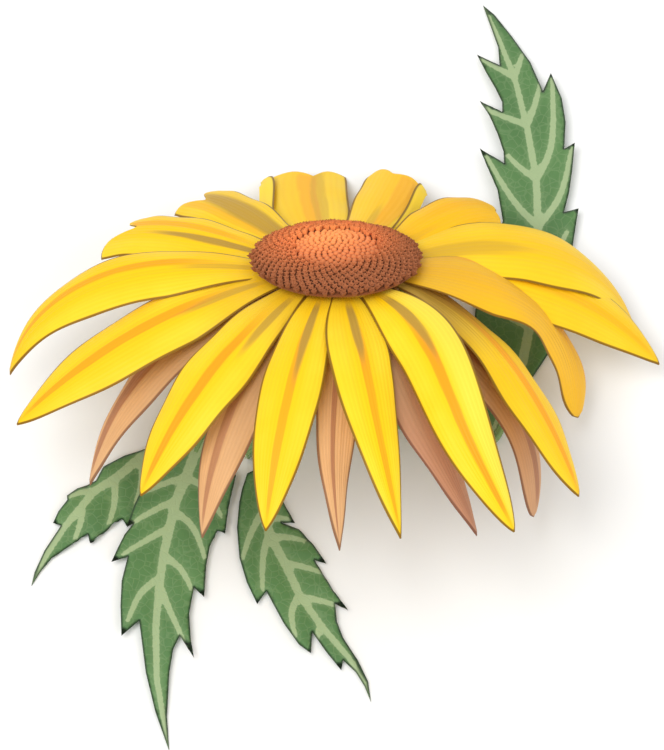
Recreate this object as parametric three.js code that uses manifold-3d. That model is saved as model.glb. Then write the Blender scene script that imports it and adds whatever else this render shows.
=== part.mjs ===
// A picked sunflower that lies on a table: a domed brown disc, a ring of fifteen drooping yellow
// ray petals over a ring of tan ones, a green cup of bracts, a short cut stem and four toothed
// leaves. Millimetres and degrees, +Z up. The table is the plane z = 0.
import * as THREE from "three";
import { ConvexHull } from "three/addons/math/ConvexHull.js";
import { mergeVertices } from "three/addons/utils/BufferGeometryUtils.js";
import Module from "manifold-3d";

const wasm = await Module();
wasm.setup();

const DEG = Math.PI / 180;

// Brings the middle of the plant's box over the origin.
const PLANT_OFFSET = new THREE.Vector3(-0.88, -1.2, 0);

// The head: the middle of the disc's rim, and how far its axis stands above the table.
const HEAD_CENTRE = new THREE.Vector3(0.9, 10.2, 42);
const HEAD_TILT = 50;

// The disc of florets.
const DISC_RADIUS = 19.5;
const DISC_DOME = 4.4;
const DISC_UNDERSIDE = -0.9;
const FLORET_COUNT = 200;
const FLORET_HEIGHT = 0.8;
const GOLDEN_ANGLE = 137.508;

// The collars that the petals grow from, one under the other below the disc.
const COLLAR_INNER_RADIUS = 8;
const COLLAR_RADIUS = 17;
const COLLAR_THICKNESS = 2;
const PETAL_ROOT_RADIUS = 14;
const YELLOW_COLLAR_TOP = -1.5;
const TAN_COLLAR_TOP = -4.1;

// The cup under the collars, with its bracts in two whorls.
const CUP_TOP = -6.4;
const CUP_BOTTOM = -15;
const CUP_RADIUS = 15.5;
const CUP_NECK_RADIUS = 4.8;
const BRACTS_PER_WHORL = 13;
const BRACT_WHORLS = [
  { root: 13.2, below: 2.4, long: 13, wide: 6, start: -28, end: -62, turn: 0 },
  { root: 10, below: 5, long: 11, wide: 5.2, start: -34, end: -58, turn: 0.5 },
];

const PETAL_THICKNESS = 0.8;
const LEAF_THICKNESS = 0.8;
const CLEARANCE = 0.3;

// Ray petals. at: compass angle of the root, 0 towards -Y and 90 towards +X. long, wide: the blade.
// rise, droop: slope at the root and at the tip. bend: how late it bends. sweep: sideways curve.
// roll: turn about its own length. full: share of the length at which the blade is widest, where
// it isn't the usual one. snake: a bend to one side and back. blunt: how round the tip is. tip:
// width share of a broad lobed end, with notch, the depth between its two lobes, dent, the notch's
// place across, corner, how far its corners fall back, and slant, how much shorter one margin is
// than the other.
const YELLOW_PETALS = [
  { at: -89, long: 72.5, wide: 15.5, rise: 5, droop: -79, bend: 1.9, sweep: 0, roll: 22 },
  { at: -71, long: 69, wide: 17, rise: -6, droop: -43, bend: 1, sweep: -4, roll: 20, blunt: 0.2 },
  { at: -40, long: 63, wide: 16, rise: -8, droop: -58, bend: 1, sweep: -6, roll: 8, blunt: 0.2 },
  { at: -14, long: 65, wide: 14, rise: -4, droop: -62, bend: 1, sweep: 1, roll: 0, blunt: 0.2 },
  {
    at: 9, long: 67, wide: 15, rise: -6, droop: -58, bend: 1, sweep: 13, roll: 14,
    full: 0.3, snake: 4,
  },
  {
    at: 35, long: 73, wide: 15, rise: 3, droop: -63, bend: 0.9, sweep: 25, roll: -26,
    full: 0.3, blunt: 0.4, snake: 25,
  },
  {
    at: 70, long: 68, wide: 16.5, rise: -10, droop: -62, bend: 0.9, sweep: -27, roll: 17,
    full: 0.6, blunt: 0.2, snake: 9,
  },
  {
    at: 84.5, long: 66.5, wide: 20, rise: 12.5, droop: -95, bend: 0.95, sweep: -18, roll: -10,
    full: 0.3, blunt: 0.8, snake: -31,
  },
  {
    at: 98, long: 71.2, wide: 18.5, rise: -3, droop: -53, bend: 1.15, sweep: -8, roll: -29,
    full: 0.55, snake: -12,
  },
  { at: 110.5, long: 71, wide: 20.5, rise: 6, droop: -74, bend: 1.6, sweep: -1.5, roll: -19 },
  {
    at: 127, long: 38, wide: 16, rise: 11.5, droop: -34.5, bend: 2.2, sweep: 3, roll: -20,
    full: 0.6, tip: 0.65, notch: 0.8, dent: 0.1, corner: 1.5, slant: -4.5, snake: -5,
  },
  {
    at: 161.5, long: 45, wide: 15.5, rise: 1.5, droop: -2.5, bend: 1, sweep: 8, roll: -5,
    full: 0.7, tip: 0.9, notch: 2, dent: 0.2, corner: 5, slant: -6.5,
  },
  {
    at: 193.5, long: 46.5, wide: 20.5, rise: 0.5, droop: -5, bend: 1, sweep: -17, roll: 3,
    full: 0.55, tip: 0.95, notch: 5, dent: -0.25, corner: 1.5, slant: 2.5,
  },
  {
    at: 219, long: 43.5, wide: 14, rise: 8, droop: -24, bend: 1.65, sweep: -6.5, roll: 12.5,
    full: 0.6, tip: 0.95, notch: 7.5, dent: 0.1, corner: 2, slant: -4,
  },
  {
    at: 244, long: 48, wide: 15, rise: 5.5, droop: -33, bend: 2.1, sweep: -5.5, roll: 16,
    full: 0.55, tip: 0.95, notch: 6.5, dent: -0.2, corner: 2, slant: -7,
  },
];

const TAN_PETALS = [
  { at: -69, long: 66, wide: 13, rise: -8, droop: -78, bend: 1, sweep: -4, roll: 10 },
  { at: -31, long: 63, wide: 12.5, rise: -10, droop: -80, bend: 1, sweep: -5, roll: 5 },
  {
    at: 3, long: 62, wide: 10.5, rise: -10.5, droop: -75, bend: 1, sweep: 8, roll: 17,
    full: 0.35, snake: 12,
  },
  {
    at: 27.5, long: 63.5, wide: 16.5, rise: -11.5, droop: -68, bend: 1, sweep: 27, roll: 16,
    full: 0.45, snake: 12.5,
  },
  {
    at: 53, long: 68.5, wide: 14, rise: -7, droop: -99, bend: 1, sweep: 19.5, roll: -7,
    full: 0.5, blunt: 0.8, snake: -15,
  },
  { at: 105, long: 40, wide: 10, rise: -10, droop: -40, bend: 1, sweep: 0, roll: -4 },
  { at: 128, long: 34, wide: 10, rise: -8, droop: -24, bend: 1, sweep: 0, roll: 0 },
  { at: 151, long: 29, wide: 10, rise: -6, droop: -16, bend: 1, sweep: 0, roll: 0 },
  { at: 187, long: 29, wide: 10, rise: -6, droop: -16, bend: 1, sweep: 0, roll: 0 },
  { at: 216, long: 30, wide: 10, rise: -6, droop: -16, bend: 1, sweep: 0, roll: 0 },
  { at: 246, long: 34, wide: 11, rise: -8, droop: -24, bend: 1, sweep: 0, roll: 6 },
  { at: 275, long: 40, wide: 11, rise: -10, droop: -40, bend: 1, sweep: 0, roll: 10 },
];

// The stem: a curve from the cup to the cut end on the table.
const STEM_TOP_RADIUS = 4.4;
const STEM_END_RADIUS = 3.8;
const STEM_CURVE = [
  [0.9, 0.3, 30.2],
  [0.9, -9.7, 18.2],
  [-11, -10, 6.2],
  [-21.8, -19.4, 3.9],
];

// Leaves, in plan. rib: the midrib from the root to the tip, as x, y and height. left, right: the
// toothed edges seen from the root, as x and y. foldLeft, foldRight: how far each half rises off
// the rib. node: the petiole's place on the stem. petiole: points it bends through on its way.
const LEAVES = {
  upper_leaf: {
    node: 0.45,
    petiole: [
      [8, -12, 9],
      [22, -16.5, 4.2],
      [31, -19, 2.8],
    ],
    rib: [
      [37.1, -17, 2.2], [41.2, -6, 1.4], [44.3, 4, 0.4], [46.7, 17.2, 0.4], [47.7, 29.7, 0.9],
      [48, 37.5, 1.6], [47.7, 49.3, 2.4], [45.6, 63, 2.4], [42.8, 76.1, 1.8], [39.3, 86.1, 0.9],
      [35.6, 95.7, 0.4],
    ],
    left: [
      [35.8, -15.5], [34, -6], [32.4, 6], [33.5, 18.8], [36.6, 29.7], [39.8, 38.5], [38.6, 46.2],
      [36.6, 51.2], [34.5, 56.8], [40.2, 53.2], [40.1, 56.2], [38.8, 60.6], [36.9, 65.5],
      [34.6, 69.4], [39.9, 66.7], [39.9, 69.3], [38.3, 73], [36.1, 77.4], [34.1, 82.1],
      [39.4, 79.3], [39.1, 84.3], [37.4, 89.9],
    ],
    right: [
      [38.3, -16.2], [42.7, -8], [46.4, -0.8], [50.5, 6], [54.1, 19.3], [56.4, 34.8],
      [57.5, 41.6], [54.1, 40.8], [55.3, 45.6], [56.1, 51.2], [56.8, 58.3], [54.3, 56.8],
      [54.7, 63.7], [53.9, 69.9], [51.4, 76.8], [49.5, 72.1], [46.6, 79.9], [42.2, 87.3],
      [38.3, 93],
    ],
    foldLeft: 0.08,
    foldRight: 0.1,
  },
  left_leaf: {
    node: 0.68,
    petiole: [
      [-20, -6, 6],
      [-28, -7.5, 3.6],
      [-33.5, -11.5, 2.6],
    ],
    rib: [
      [-36.5, -15.5, 2], [-39.1, -17.5, 1.2], [-43.8, -20.6, 0.4], [-49.5, -25.8, 0.4],
      [-54.6, -29.2, 0.4], [-57.7, -33.6, 1], [-61.4, -38.5, 1], [-65.4, -45.2, 0.7],
      [-68.8, -52.8, 0.4],
    ],
    left: [
      [-36, -17], [-37.5, -19], [-40.7, -25.3], [-43.5, -30], [-45.5, -35.5], [-47.1, -38.5],
      [-48.3, -36.2], [-51.2, -38.8], [-55.4, -42.7], [-56, -40.1], [-59.7, -42.9], [-64.2, -46],
      [-66.7, -49.2],
    ],
    right: [
      [-37.5, -14.8], [-43, -18.6], [-47.8, -20.3], [-52.6, -23.1], [-54.3, -26.5],
      [-56.3, -27.7], [-58.5, -28.6], [-60.9, -30.6], [-60.8, -31.7], [-62.8, -34.5],
      [-64, -37.4], [-62.2, -38], [-65.9, -44.1], [-68.1, -49.4],
    ],
    foldLeft: 0,
    foldRight: 0.12,
  },
  middle_leaf: {
    node: 0.8,
    petiole: [
      [-21, -10.5, 5],
      [-26.5, -11, 3.2],
    ],
    rib: [
      [-29.7, -15.6, 2.2], [-31.4, -20, 1.6], [-33.6, -26, 0.8], [-36, -32.3, 0.5],
      [-38.5, -44.6, 0.4], [-39.6, -54, 0.7], [-40.2, -63.3, 1.2], [-39.9, -75.7, 1.2],
      [-37.9, -88.1, 0.6], [-36.9, -93.3, 0.4],
    ],
    left: [
      [-28.5, -16.3], [-26.3, -21], [-22.5, -24.6], [-22.1, -26.2], [-23.7, -33.6],
      [-24.5, -40.5], [-26.2, -39.5], [-28, -43.5], [-28.8, -48.4], [-29.2, -56.2],
      [-31.5, -53.5], [-32.6, -60.2], [-32.2, -66.4], [-31.4, -71.3], [-34.7, -65.5],
      [-36.2, -68.9], [-37, -74.4], [-37.5, -84.9],
    ],
    right: [
      [-30.8, -15], [-33, -16.5], [-37.5, -20], [-41.6, -25.5], [-43.3, -28.3], [-45.3, -32.9],
      [-47.1, -38.7], [-45.5, -37.6], [-47.5, -40.4], [-48.9, -43.5], [-50.5, -47.5],
      [-46.8, -46], [-48.1, -52.1], [-48.3, -58.3], [-48, -65.8], [-44, -61.8], [-42.4, -74.4],
      [-40.2, -83.7],
    ],
    foldLeft: 0.1,
    foldRight: 0.15,
  },
  right_leaf: {
    node: 0.88,
    petiole: [[-15.4, -20.5, 4]],
    rib: [
      [-15.3, -24, 2.4], [-16, -31.2, 1.2], [-14.7, -38.5, 0.5], [-13.9, -41, 0.4], [-10.7, -47.5, 0.4],
      [-7.4, -55.3, 0.8], [-2.5, -63, 1.2], [4, -71, 1], [7.6, -76.8, 0.6], [8.9, -81.4, 0.4],
    ],
    left: [
      [-14.4, -23.8], [-13.2, -26], [-12.2, -30.2], [-10.5, -33.6], [-8.5, -37.3], [-11.6, -37.2],
      [-7.6, -38.8], [-4.2, -42.9], [-1.3, -47.5], [-4, -46.6], [0.3, -54.3], [3.7, -59.3],
      [0.7, -57.6], [1.1, -61.8], [2.5, -65.8], [5.9, -71.3], [8.2, -76.3],
    ],
    right: [
      [-16.3, -23.8], [-19.5, -25.5], [-20.7, -29.2], [-21.3, -32.3], [-21.8, -38.5],
      [-21.2, -46], [-19.5, -52.1], [-17.1, -57.6], [-15, -54.3], [-11, -62.4], [-7.6, -67.6],
      [-4.8, -69.8], [-4.5, -64.5], [-1.4, -69.2], [2.1, -73.8], [2.5, -71.3], [5.4, -74.1],
      [7.4, -77.5],
    ],
    foldLeft: 0.12,
    foldRight: 0.08,
  },
};

// Closed solid of a BufferGeometry, once only position is left and the shared vertices are merged.
function solid(geometry) {
  const bare = geometry.clone();
  bare.deleteAttribute("normal");
  bare.deleteAttribute("uv");
  const merged = mergeVertices(bare, 1e-4);
  return new wasm.Manifold(
    new wasm.Mesh({
      numProp: 3,
      vertProperties: merged.attributes.position.array,
      triVerts: new Uint32Array(merged.index.array),
    }),
  );
}

function solidOf(points, index) {
  const geometry = new THREE.BufferGeometry().setFromPoints(points);
  geometry.setIndex(index);
  return solid(geometry);
}

function geometryOf(made) {
  const mesh = made.getMesh();
  const geometry = new THREE.BufferGeometry();
  geometry.setAttribute("position", new THREE.BufferAttribute(mesh.vertProperties, mesh.numProp));
  geometry.setIndex(new THREE.BufferAttribute(mesh.triVerts, 1));
  geometry.computeVertexNormals();
  return geometry;
}

const fuse = (solids) => solids.reduce((all, one) => all.add(one));

// A blade from rows of { point, up }: the upper and the lower face lie half the thickness to each
// side of the points, and both are split into triangles alike.
function blade(rows, thickness) {
  const across = rows[0].length;
  const points = [];
  for (const side of [0.5, -0.5]) {
    for (const { point, up } of rows.flat()) {
      points.push(point.clone().addScaledVector(up, side * thickness));
    }
  }
  const at = (face, i, j) => (face * rows.length + i) * across + j;
  const index = [];
  const quad = (a, b, c, d) => index.push(a, b, c, a, c, d);
  const last = rows.length - 1;
  const edge = across - 1;
  for (let i = 0; i < last; i++) {
    for (let j = 0; j < edge; j++) {
      quad(at(0, i, j), at(0, i + 1, j), at(0, i + 1, j + 1), at(0, i, j + 1));
      index.push(at(1, i, j), at(1, i + 1, j + 1), at(1, i + 1, j));
      index.push(at(1, i, j), at(1, i, j + 1), at(1, i + 1, j + 1));
    }
    quad(at(0, i, 0), at(1, i, 0), at(1, i + 1, 0), at(0, i + 1, 0));
    quad(at(0, i + 1, edge), at(1, i + 1, edge), at(1, i, edge), at(0, i, edge));
  }
  for (let j = 0; j < edge; j++) {
    quad(at(0, 0, j + 1), at(1, 0, j + 1), at(1, 0, j), at(0, 0, j));
    quad(at(0, last, j), at(1, last, j), at(1, last, j + 1), at(0, last, j + 1));
  }
  return solidOf(points, index);
}

// Half the width of a petal at share t of its length: a narrow claw, then a full blade that runs
// to a point or to a broad end.
function petalHalfWidth(petal, t) {
  const claw = 0.42;
  const fullest = petal.full || 0.48;
  const tipWidth = 0.05;
  if (t < fullest) {
    const swell = Math.sin((Math.PI / 2) * (t / fullest));
    return (petal.wide / 2) * (claw + (1 - claw) * swell);
  }
  const x = (t - fullest) / (1 - fullest);
  const { tip = 0, blunt = 0 } = petal;
  const broad = Math.sqrt(1 - (1 - tip ** 2) * x ** 4);
  const pointed = (1 - x ** (1.7 + blunt)) ** (0.85 - 0.4 * blunt);
  return (petal.wide / 2) * Math.max(tipWidth, tip ? broad : pointed);
}

// How far the end of a petal falls back at place v across it, as a share of its length.
function petalCut({ notch = 0, dent = 0, corner = 0, slant = 0, long }, v) {
  const out = Math.abs(v - dent) / (v < dent ? 1 + dent : 1 - dent);
  const lobes = out < 0.5 ? notch * (1 - Math.sin(Math.PI * out)) : corner * (2 * out - 1) ** 2;
  return (lobes + (Math.abs(slant) + slant * v) / 2) / long;
}

// Rows of { point, up } over a petal's middle surface, in the head's frame.
function petalSurface(petal, rootHeight, rows, across) {
  const camber = 0.22;
  const steps = 128;
  const { dent = 0 } = petal;
  const position = new THREE.Vector3(
    Math.sin(petal.at * DEG) * PETAL_ROOT_RADIUS,
    -Math.cos(petal.at * DEG) * PETAL_ROOT_RADIUS,
    rootHeight,
  );
  const line = [];
  for (let k = 0; k <= steps; k++) {
    const t = k / steps;
    const pitch = (petal.rise + (petal.droop - petal.rise) * t ** petal.bend) * DEG;
    const snake = (petal.snake || 0) * Math.sin(Math.PI * t) ** 2;
    const heading = (petal.at + petal.sweep * t - snake) * DEG;
    const ahead = new THREE.Vector3(
      Math.sin(heading) * Math.cos(pitch),
      -Math.cos(heading) * Math.cos(pitch),
      Math.sin(pitch),
    );
    const level = new THREE.Vector3(Math.cos(heading), Math.sin(heading), 0);
    const turn = petal.roll * Math.min(1, 0.3 + 2 * t) * DEG;
    const side = level.clone().applyAxisAngle(ahead, -turn);
    line.push({ point: position.clone(), ahead, side, up: ahead.clone().cross(side) });
    position.addScaledVector(ahead, petal.long / steps);
  }
  const surface = [];
  for (let i = 0; i <= rows; i++) {
    const row = [];
    for (let j = 0; j <= across; j++) {
      const w = (2 * j) / across - 1;
      const v = dent + w * (w < 0 ? 1 + dent : 1 - dent);
      const t = i / rows;
      const cut = petalCut(petal, v) * t ** 6;
      const { point, side, up } = line[Math.round(t * (1 - cut) * steps)];
      const half = petalHalfWidth(petal, i / rows);
      const sag = camber * Math.min(1, (3 * i) / rows) * half * v * v;
      const middle = point.clone().addScaledVector(side, v * half).addScaledVector(up, -sag);
      row.push({ point: middle, up });
    }
    surface.push(row);
  }
  return surface;
}

function collar(top) {
  const outline = [
    [COLLAR_INNER_RADIUS, top - COLLAR_THICKNESS],
    [COLLAR_RADIUS, top - COLLAR_THICKNESS],
    [COLLAR_RADIUS, top],
    [COLLAR_INNER_RADIUS, top],
    [COLLAR_INNER_RADIUS, top - COLLAR_THICKNESS],
  ].map(([x, y]) => new THREE.Vector2(x, y));
  return solid(new THREE.LatheGeometry(outline, 30).rotateX(Math.PI / 2));
}

function petalRing(petals, collarTop) {
  const rootHeight = collarTop - COLLAR_THICKNESS / 2;
  const blades = petals.map((petal) => {
    return blade(petalSurface(petal, rootHeight, 9, 4), PETAL_THICKNESS);
  });
  return fuse([collar(collarTop), ...blades]);
}

const domeHeight = (r) => DISC_DOME * (1 - (r / DISC_RADIUS) ** 2);

// The disc: florets on a sunflower spiral. Neighbours are joined into triangles, and each triangle
// is split so that every floret stands as a low pyramid between valleys.
function disc() {
  const rimSides = 48;
  const bevel = 0.92;
  const florets = [];
  for (let k = 0; k < FLORET_COUNT; k++) {
    const r = (DISC_RADIUS - 0.9) * Math.sqrt((k + 0.5) / FLORET_COUNT);
    const a = k * GOLDEN_ANGLE * DEG;
    florets.push(new THREE.Vector3(r * Math.cos(a), r * Math.sin(a), domeHeight(r)));
  }
  const rim = [];
  for (let k = 0; k < rimSides; k++) {
    const a = (k / rimSides) * 2 * Math.PI;
    rim.push(new THREE.Vector3(DISC_RADIUS * Math.cos(a), DISC_RADIUS * Math.sin(a), 0));
  }
  const raised = new Map(florets.map((p) => [p, FLORET_HEIGHT]));
  const hull = new ConvexHull().setFromPoints([...florets, ...rim]);
  const points = [];
  const index = [];
  const corner = (p, lift) => {
    points.push(new THREE.Vector3(p.x, p.y, p.z + lift));
    return points.length - 1;
  };
  for (const face of hull.faces) {
    if (face.normal.z < 0.2) continue;
    const [a, b, c] = [face.edge, face.edge.next, face.edge.next.next].map((e) => e.head().point);
    const middle = new THREE.Vector3().add(a).add(b).add(c).divideScalar(3);
    const hub = corner(middle, 0);
    for (const [p, q] of [[a, b], [b, c], [c, a]]) {
      const onRim = !raised.has(p) && !raised.has(q);
      const between = corner(p.clone().add(q).divideScalar(2), onRim ? 0 : 0.15 * FLORET_HEIGHT);
      index.push(hub, corner(p, raised.get(p) || 0), between);
      index.push(hub, between, corner(q, raised.get(q) || 0));
    }
  }
  const base = corner(new THREE.Vector3(0, 0, DISC_UNDERSIDE), 0);
  const under = (p) => corner(new THREE.Vector3(p.x * bevel, p.y * bevel, DISC_UNDERSIDE), 0);
  for (let k = 0; k < rimSides; k++) {
    const a = rim[k];
    const b = rim[(k + 1) % rimSides];
    const between = a.clone().add(b).divideScalar(2);
    for (const [p, q] of [[a, between], [between, b]]) {
      const [p0, q0, p1, q1] = [corner(p, 0), corner(q, 0), under(p), under(q)];
      index.push(p0, p1, q0);
      index.push(q0, p1, q1);
      index.push(base, q1, p1);
    }
  }
  return solidOf(points, index);
}

// The cup, and one bract: a pointed scale that leaves the cup's side and spreads at its tip.
function cup() {
  const profile = [
    [0, CUP_BOTTOM],
    [CUP_NECK_RADIUS, CUP_BOTTOM],
    [CUP_NECK_RADIUS + 2.4, CUP_BOTTOM + 1.6],
    [CUP_RADIUS - 2.5, CUP_TOP - 3.6],
    [CUP_RADIUS, CUP_TOP - 1],
    [CUP_RADIUS, CUP_TOP],
    [0, CUP_TOP],
  ].map(([x, y]) => new THREE.Vector2(x, y));
  const body = solid(new THREE.LatheGeometry(profile, 30).rotateX(Math.PI / 2));
  const bracts = [];
  for (const whorl of BRACT_WHORLS) {
    for (let k = 0; k < BRACTS_PER_WHORL; k++) {
      bracts.push(bract(((k + whorl.turn) * 360) / BRACTS_PER_WHORL, whorl));
    }
  }
  return fuse([body, ...bracts]);
}

function bract(at, { root, below, long, wide, start, end }) {
  const steps = 5;
  const thickness = 0.9;
  const out = new THREE.Vector3(Math.sin(at * DEG), -Math.cos(at * DEG), 0);
  const side = new THREE.Vector3(Math.cos(at * DEG), Math.sin(at * DEG), 0);
  const position = out.clone().multiplyScalar(root).setZ(CUP_TOP - below);
  const rows = [];
  for (let i = 0; i <= steps; i++) {
    const t = i / steps;
    const pitch = (start + (end - start) * t) * DEG;
    const ahead = out.clone().multiplyScalar(Math.cos(pitch)).setZ(Math.sin(pitch));
    const up = ahead.clone().cross(side);
    const half = (wide / 2) * Math.max(0.08, 1 - t ** 2);
    const row = [-1, 0, 1].map((v) => {
      const point = position.clone().addScaledVector(side, v * half);
      return { point: point.addScaledVector(up, -0.12 * half * Math.abs(v)), up };
    });
    rows.push(row);
    position.addScaledVector(ahead, long / steps);
  }
  return blade(rows, thickness);
}

// A round rod along a list of points, with the radius given at each point.
function rod(points, radii, sides) {
  const vertices = [];
  const index = [];
  const up = new THREE.Vector3(0, 0, 1);
  points.forEach((point, i) => {
    const next = points[Math.min(i + 1, points.length - 1)];
    const before = points[Math.max(i - 1, 0)];
    const ahead = next.clone().sub(before).normalize();
    const side = up.clone().cross(ahead).normalize();
    const over = ahead.clone().cross(side);
    for (let k = 0; k < sides; k++) {
      const a = (k / sides) * 2 * Math.PI;
      const vertex = point.clone().addScaledVector(side, radii[i] * Math.cos(a));
      vertices.push(vertex.addScaledVector(over, radii[i] * Math.sin(a)));
    }
  });
  const at = (i, k) => i * sides + (k % sides);
  const last = points.length - 1;
  for (let k = 0; k < sides; k++) {
    for (let i = 0; i < last; i++) {
      index.push(at(i, k), at(i, k + 1), at(i + 1, k + 1));
      index.push(at(i, k), at(i + 1, k + 1), at(i + 1, k));
    }
  }
  for (let k = 1; k + 1 < sides; k++) {
    index.push(at(0, 0), at(0, k + 1), at(0, k));
    index.push(at(last, 0), at(last, k), at(last, k + 1));
  }
  return solidOf(vertices, index);
}

const stemCurve = new THREE.CubicBezierCurve3(...STEM_CURVE.map((p) => new THREE.Vector3(...p)));

function stem(extra) {
  const steps = 10;
  const points = stemCurve.getPoints(steps);
  const taper = STEM_END_RADIUS - STEM_TOP_RADIUS;
  const radii = points.map((_, i) => STEM_TOP_RADIUS + taper * (i / steps) + extra);
  return rod(points, radii, 12);
}

// The height of a leaf over a plan point: that of the nearest point of the rib, plus the fold
// times the distance.
function leafHeight(rib, fold, x, y) {
  let nearest = Infinity;
  let height = 0;
  for (let i = 0; i + 1 < rib.length; i++) {
    const [ax, ay, az] = rib[i];
    const [bx, by, bz] = rib[i + 1];
    const span = (bx - ax) ** 2 + (by - ay) ** 2;
    const t = Math.min(1, Math.max(0, ((x - ax) * (bx - ax) + (y - ay) * (by - ay)) / span));
    const distance = Math.hypot(x - ax - t * (bx - ax), y - ay - t * (by - ay));
    if (distance < nearest) {
      nearest = distance;
      height = az + t * (bz - az);
    }
  }
  return height + fold * nearest;
}

// Triangles of a flat outline. Diagonals are swapped until none is the longer one of the two that
// its four-sided neighbourhood could have, so the blade's folds run from the rib to the edge.
function evenTriangles(outline) {
  const triangles = THREE.ShapeUtils.triangulateShape(outline, []);
  const cross = (a, b, c) => {
    const [p, q, r] = [outline[a], outline[b], outline[c]];
    return (q.x - p.x) * (r.y - p.y) - (q.y - p.y) * (r.x - p.x);
  };
  const length = (a, b) => outline[a].distanceTo(outline[b]);
  const swap = () => {
    for (let i = 0; i < triangles.length; i++) {
      for (let j = i + 1; j < triangles.length; j++) {
        const shared = triangles[i].filter((k) => triangles[j].includes(k));
        if (shared.length < 2) continue;
        const [a, b] = shared;
        const c = triangles[i].find((k) => !shared.includes(k));
        const d = triangles[j].find((k) => !shared.includes(k));
        const crossing = cross(c, d, a) * cross(c, d, b) < -1;
        if (!crossing || length(c, d) >= length(a, b) - 0.01) continue;
        triangles[i] = [c, d, a];
        triangles[j] = [c, d, b];
        return true;
      }
    }
    return false;
  };
  while (swap()) continue;
  return triangles;
}

function leaf({ node, petiole, rib, left, right, foldLeft, foldRight }) {
  const ribPoints = rib.map((p) => new THREE.Vector3(...p));
  const root = ribPoints[0];
  const tip = ribPoints[ribPoints.length - 1];
  const edge = (list, fold) => {
    return list.map(([x, y]) => new THREE.Vector3(x, y, leafHeight(rib, fold, x, y)));
  };
  const leftEdge = edge(left, foldLeft);
  const rightEdge = edge(right, foldRight);
  const points = [];
  const index = [];
  const upper = new THREE.Vector3(0, 0, LEAF_THICKNESS / 2);
  const addTriangle = (a, b, c) => {
    const turn = (b.x - a.x) * (c.y - a.y) - (b.y - a.y) * (c.x - a.x);
    const [p, q, r] = turn > 0 ? [a, b, c] : [a, c, b];
    for (const v of [p, q, r]) points.push(v.clone().add(upper));
    for (const v of [p, r, q]) points.push(v.clone().sub(upper));
  };
  for (const side of [leftEdge, rightEdge]) {
    const loop = [...ribPoints, ...side.slice().reverse()];
    const flat = loop.map((p) => new THREE.Vector2(p.x, p.y));
    for (const [a, b, c] of evenTriangles(flat)) addTriangle(loop[a], loop[b], loop[c]);
  }
  const outline = [root, ...leftEdge, tip, ...rightEdge.slice().reverse()];
  const area = THREE.ShapeUtils.area(outline.map((p) => new THREE.Vector2(p.x, p.y)));
  if (area < 0) outline.reverse();
  outline.forEach((a, i) => {
    const b = outline[(i + 1) % outline.length];
    const [a0, b0] = [a.clone().sub(upper), b.clone().sub(upper)];
    const [a1, b1] = [a.clone().add(upper), b.clone().add(upper)];
    points.push(a0, b0, b1, a0, b1, a1);
  });
  points.forEach((_, i) => index.push(i));
  const bladeSolid = solidOf(points, index);

  const start = stemCurve.getPoint(node);
  const path = [start, ...petiole.map((p) => new THREE.Vector3(...p)), root, ribPoints[1]];
  const curve = new THREE.CatmullRomCurve3(path, false, "centripetal");
  const steps = 12;
  const stalkPoints = curve.getPoints(steps);
  const stalkRadii = stalkPoints.map((_, i) => 1.5 - 0.9 * (i / steps) ** 3);
  const stalk = rod(stalkPoints, stalkRadii, 8);
  return bladeSolid.add(stalk).subtract(stem(CLEARANCE));
}

function material(color, roughness) {
  return new THREE.MeshStandardMaterial({ color, roughness, metalness: 0 });
}

function mesh(name, made, look) {
  const piece = new THREE.Mesh(geometryOf(made), look);
  piece.name = name;
  return piece;
}

const yellow = material(0xffd927, 0.6);
const tan = material(0xd79f72, 0.7);
const brown = material(0xc07040, 0.8);
const green = material(0x5f8a54, 0.7);

const head = new THREE.Group();
head.position.copy(HEAD_CENTRE);
head.rotation.x = -(90 - HEAD_TILT) * DEG;
head.add(mesh("disc", disc(), brown));
head.add(mesh("yellow_petals", petalRing(YELLOW_PETALS, YELLOW_COLLAR_TOP), yellow));
head.add(mesh("tan_petals", petalRing(TAN_PETALS, TAN_COLLAR_TOP), tan));
head.add(mesh("bract_cup", cup(), green));

const plant = new THREE.Group();
plant.position.copy(PLANT_OFFSET);
plant.add(head);
plant.add(mesh("stem", stem(0), green));
for (const [name, shape] of Object.entries(LEAVES)) {
  plant.add(mesh(name, leaf(shape), green));
}

const sunflower = new THREE.Group();
sunflower.add(plant);

export default sunflower;
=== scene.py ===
"""A picked sunflower lying on a pale table, seen from above and in front.

Tables and shape functions work in millimetres, as the solids do. A mesh is made in metres.
The head's own frame has its origin at the middle of the disc's rim and +Z out of the disc.
"""
import math

import bpy
import numpy as np
from mathutils import Matrix, Vector
from mathutils.geometry import delaunay_2d_cdt


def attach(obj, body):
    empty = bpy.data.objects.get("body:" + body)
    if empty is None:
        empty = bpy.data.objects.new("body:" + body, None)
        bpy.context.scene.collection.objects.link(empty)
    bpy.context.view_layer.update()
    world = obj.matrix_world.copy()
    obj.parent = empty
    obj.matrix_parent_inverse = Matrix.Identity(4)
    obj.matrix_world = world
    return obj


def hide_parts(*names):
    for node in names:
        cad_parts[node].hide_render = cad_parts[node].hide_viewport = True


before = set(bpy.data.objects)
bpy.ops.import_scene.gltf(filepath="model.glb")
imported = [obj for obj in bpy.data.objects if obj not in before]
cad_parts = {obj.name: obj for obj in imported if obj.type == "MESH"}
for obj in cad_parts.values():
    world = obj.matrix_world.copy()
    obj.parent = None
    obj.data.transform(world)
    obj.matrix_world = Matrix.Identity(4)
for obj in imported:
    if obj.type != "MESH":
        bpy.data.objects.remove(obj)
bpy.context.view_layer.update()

MM = 0.001
TURN = 2 * math.pi

# Where the plant and its head stand, as in the solids.
PLANT_OFFSET = Vector((-0.88, -1.2, 0))
HEAD_CENTRE = Vector((0.9, 10.2, 42)) + PLANT_OFFSET
HEAD_TILT = 50

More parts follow.
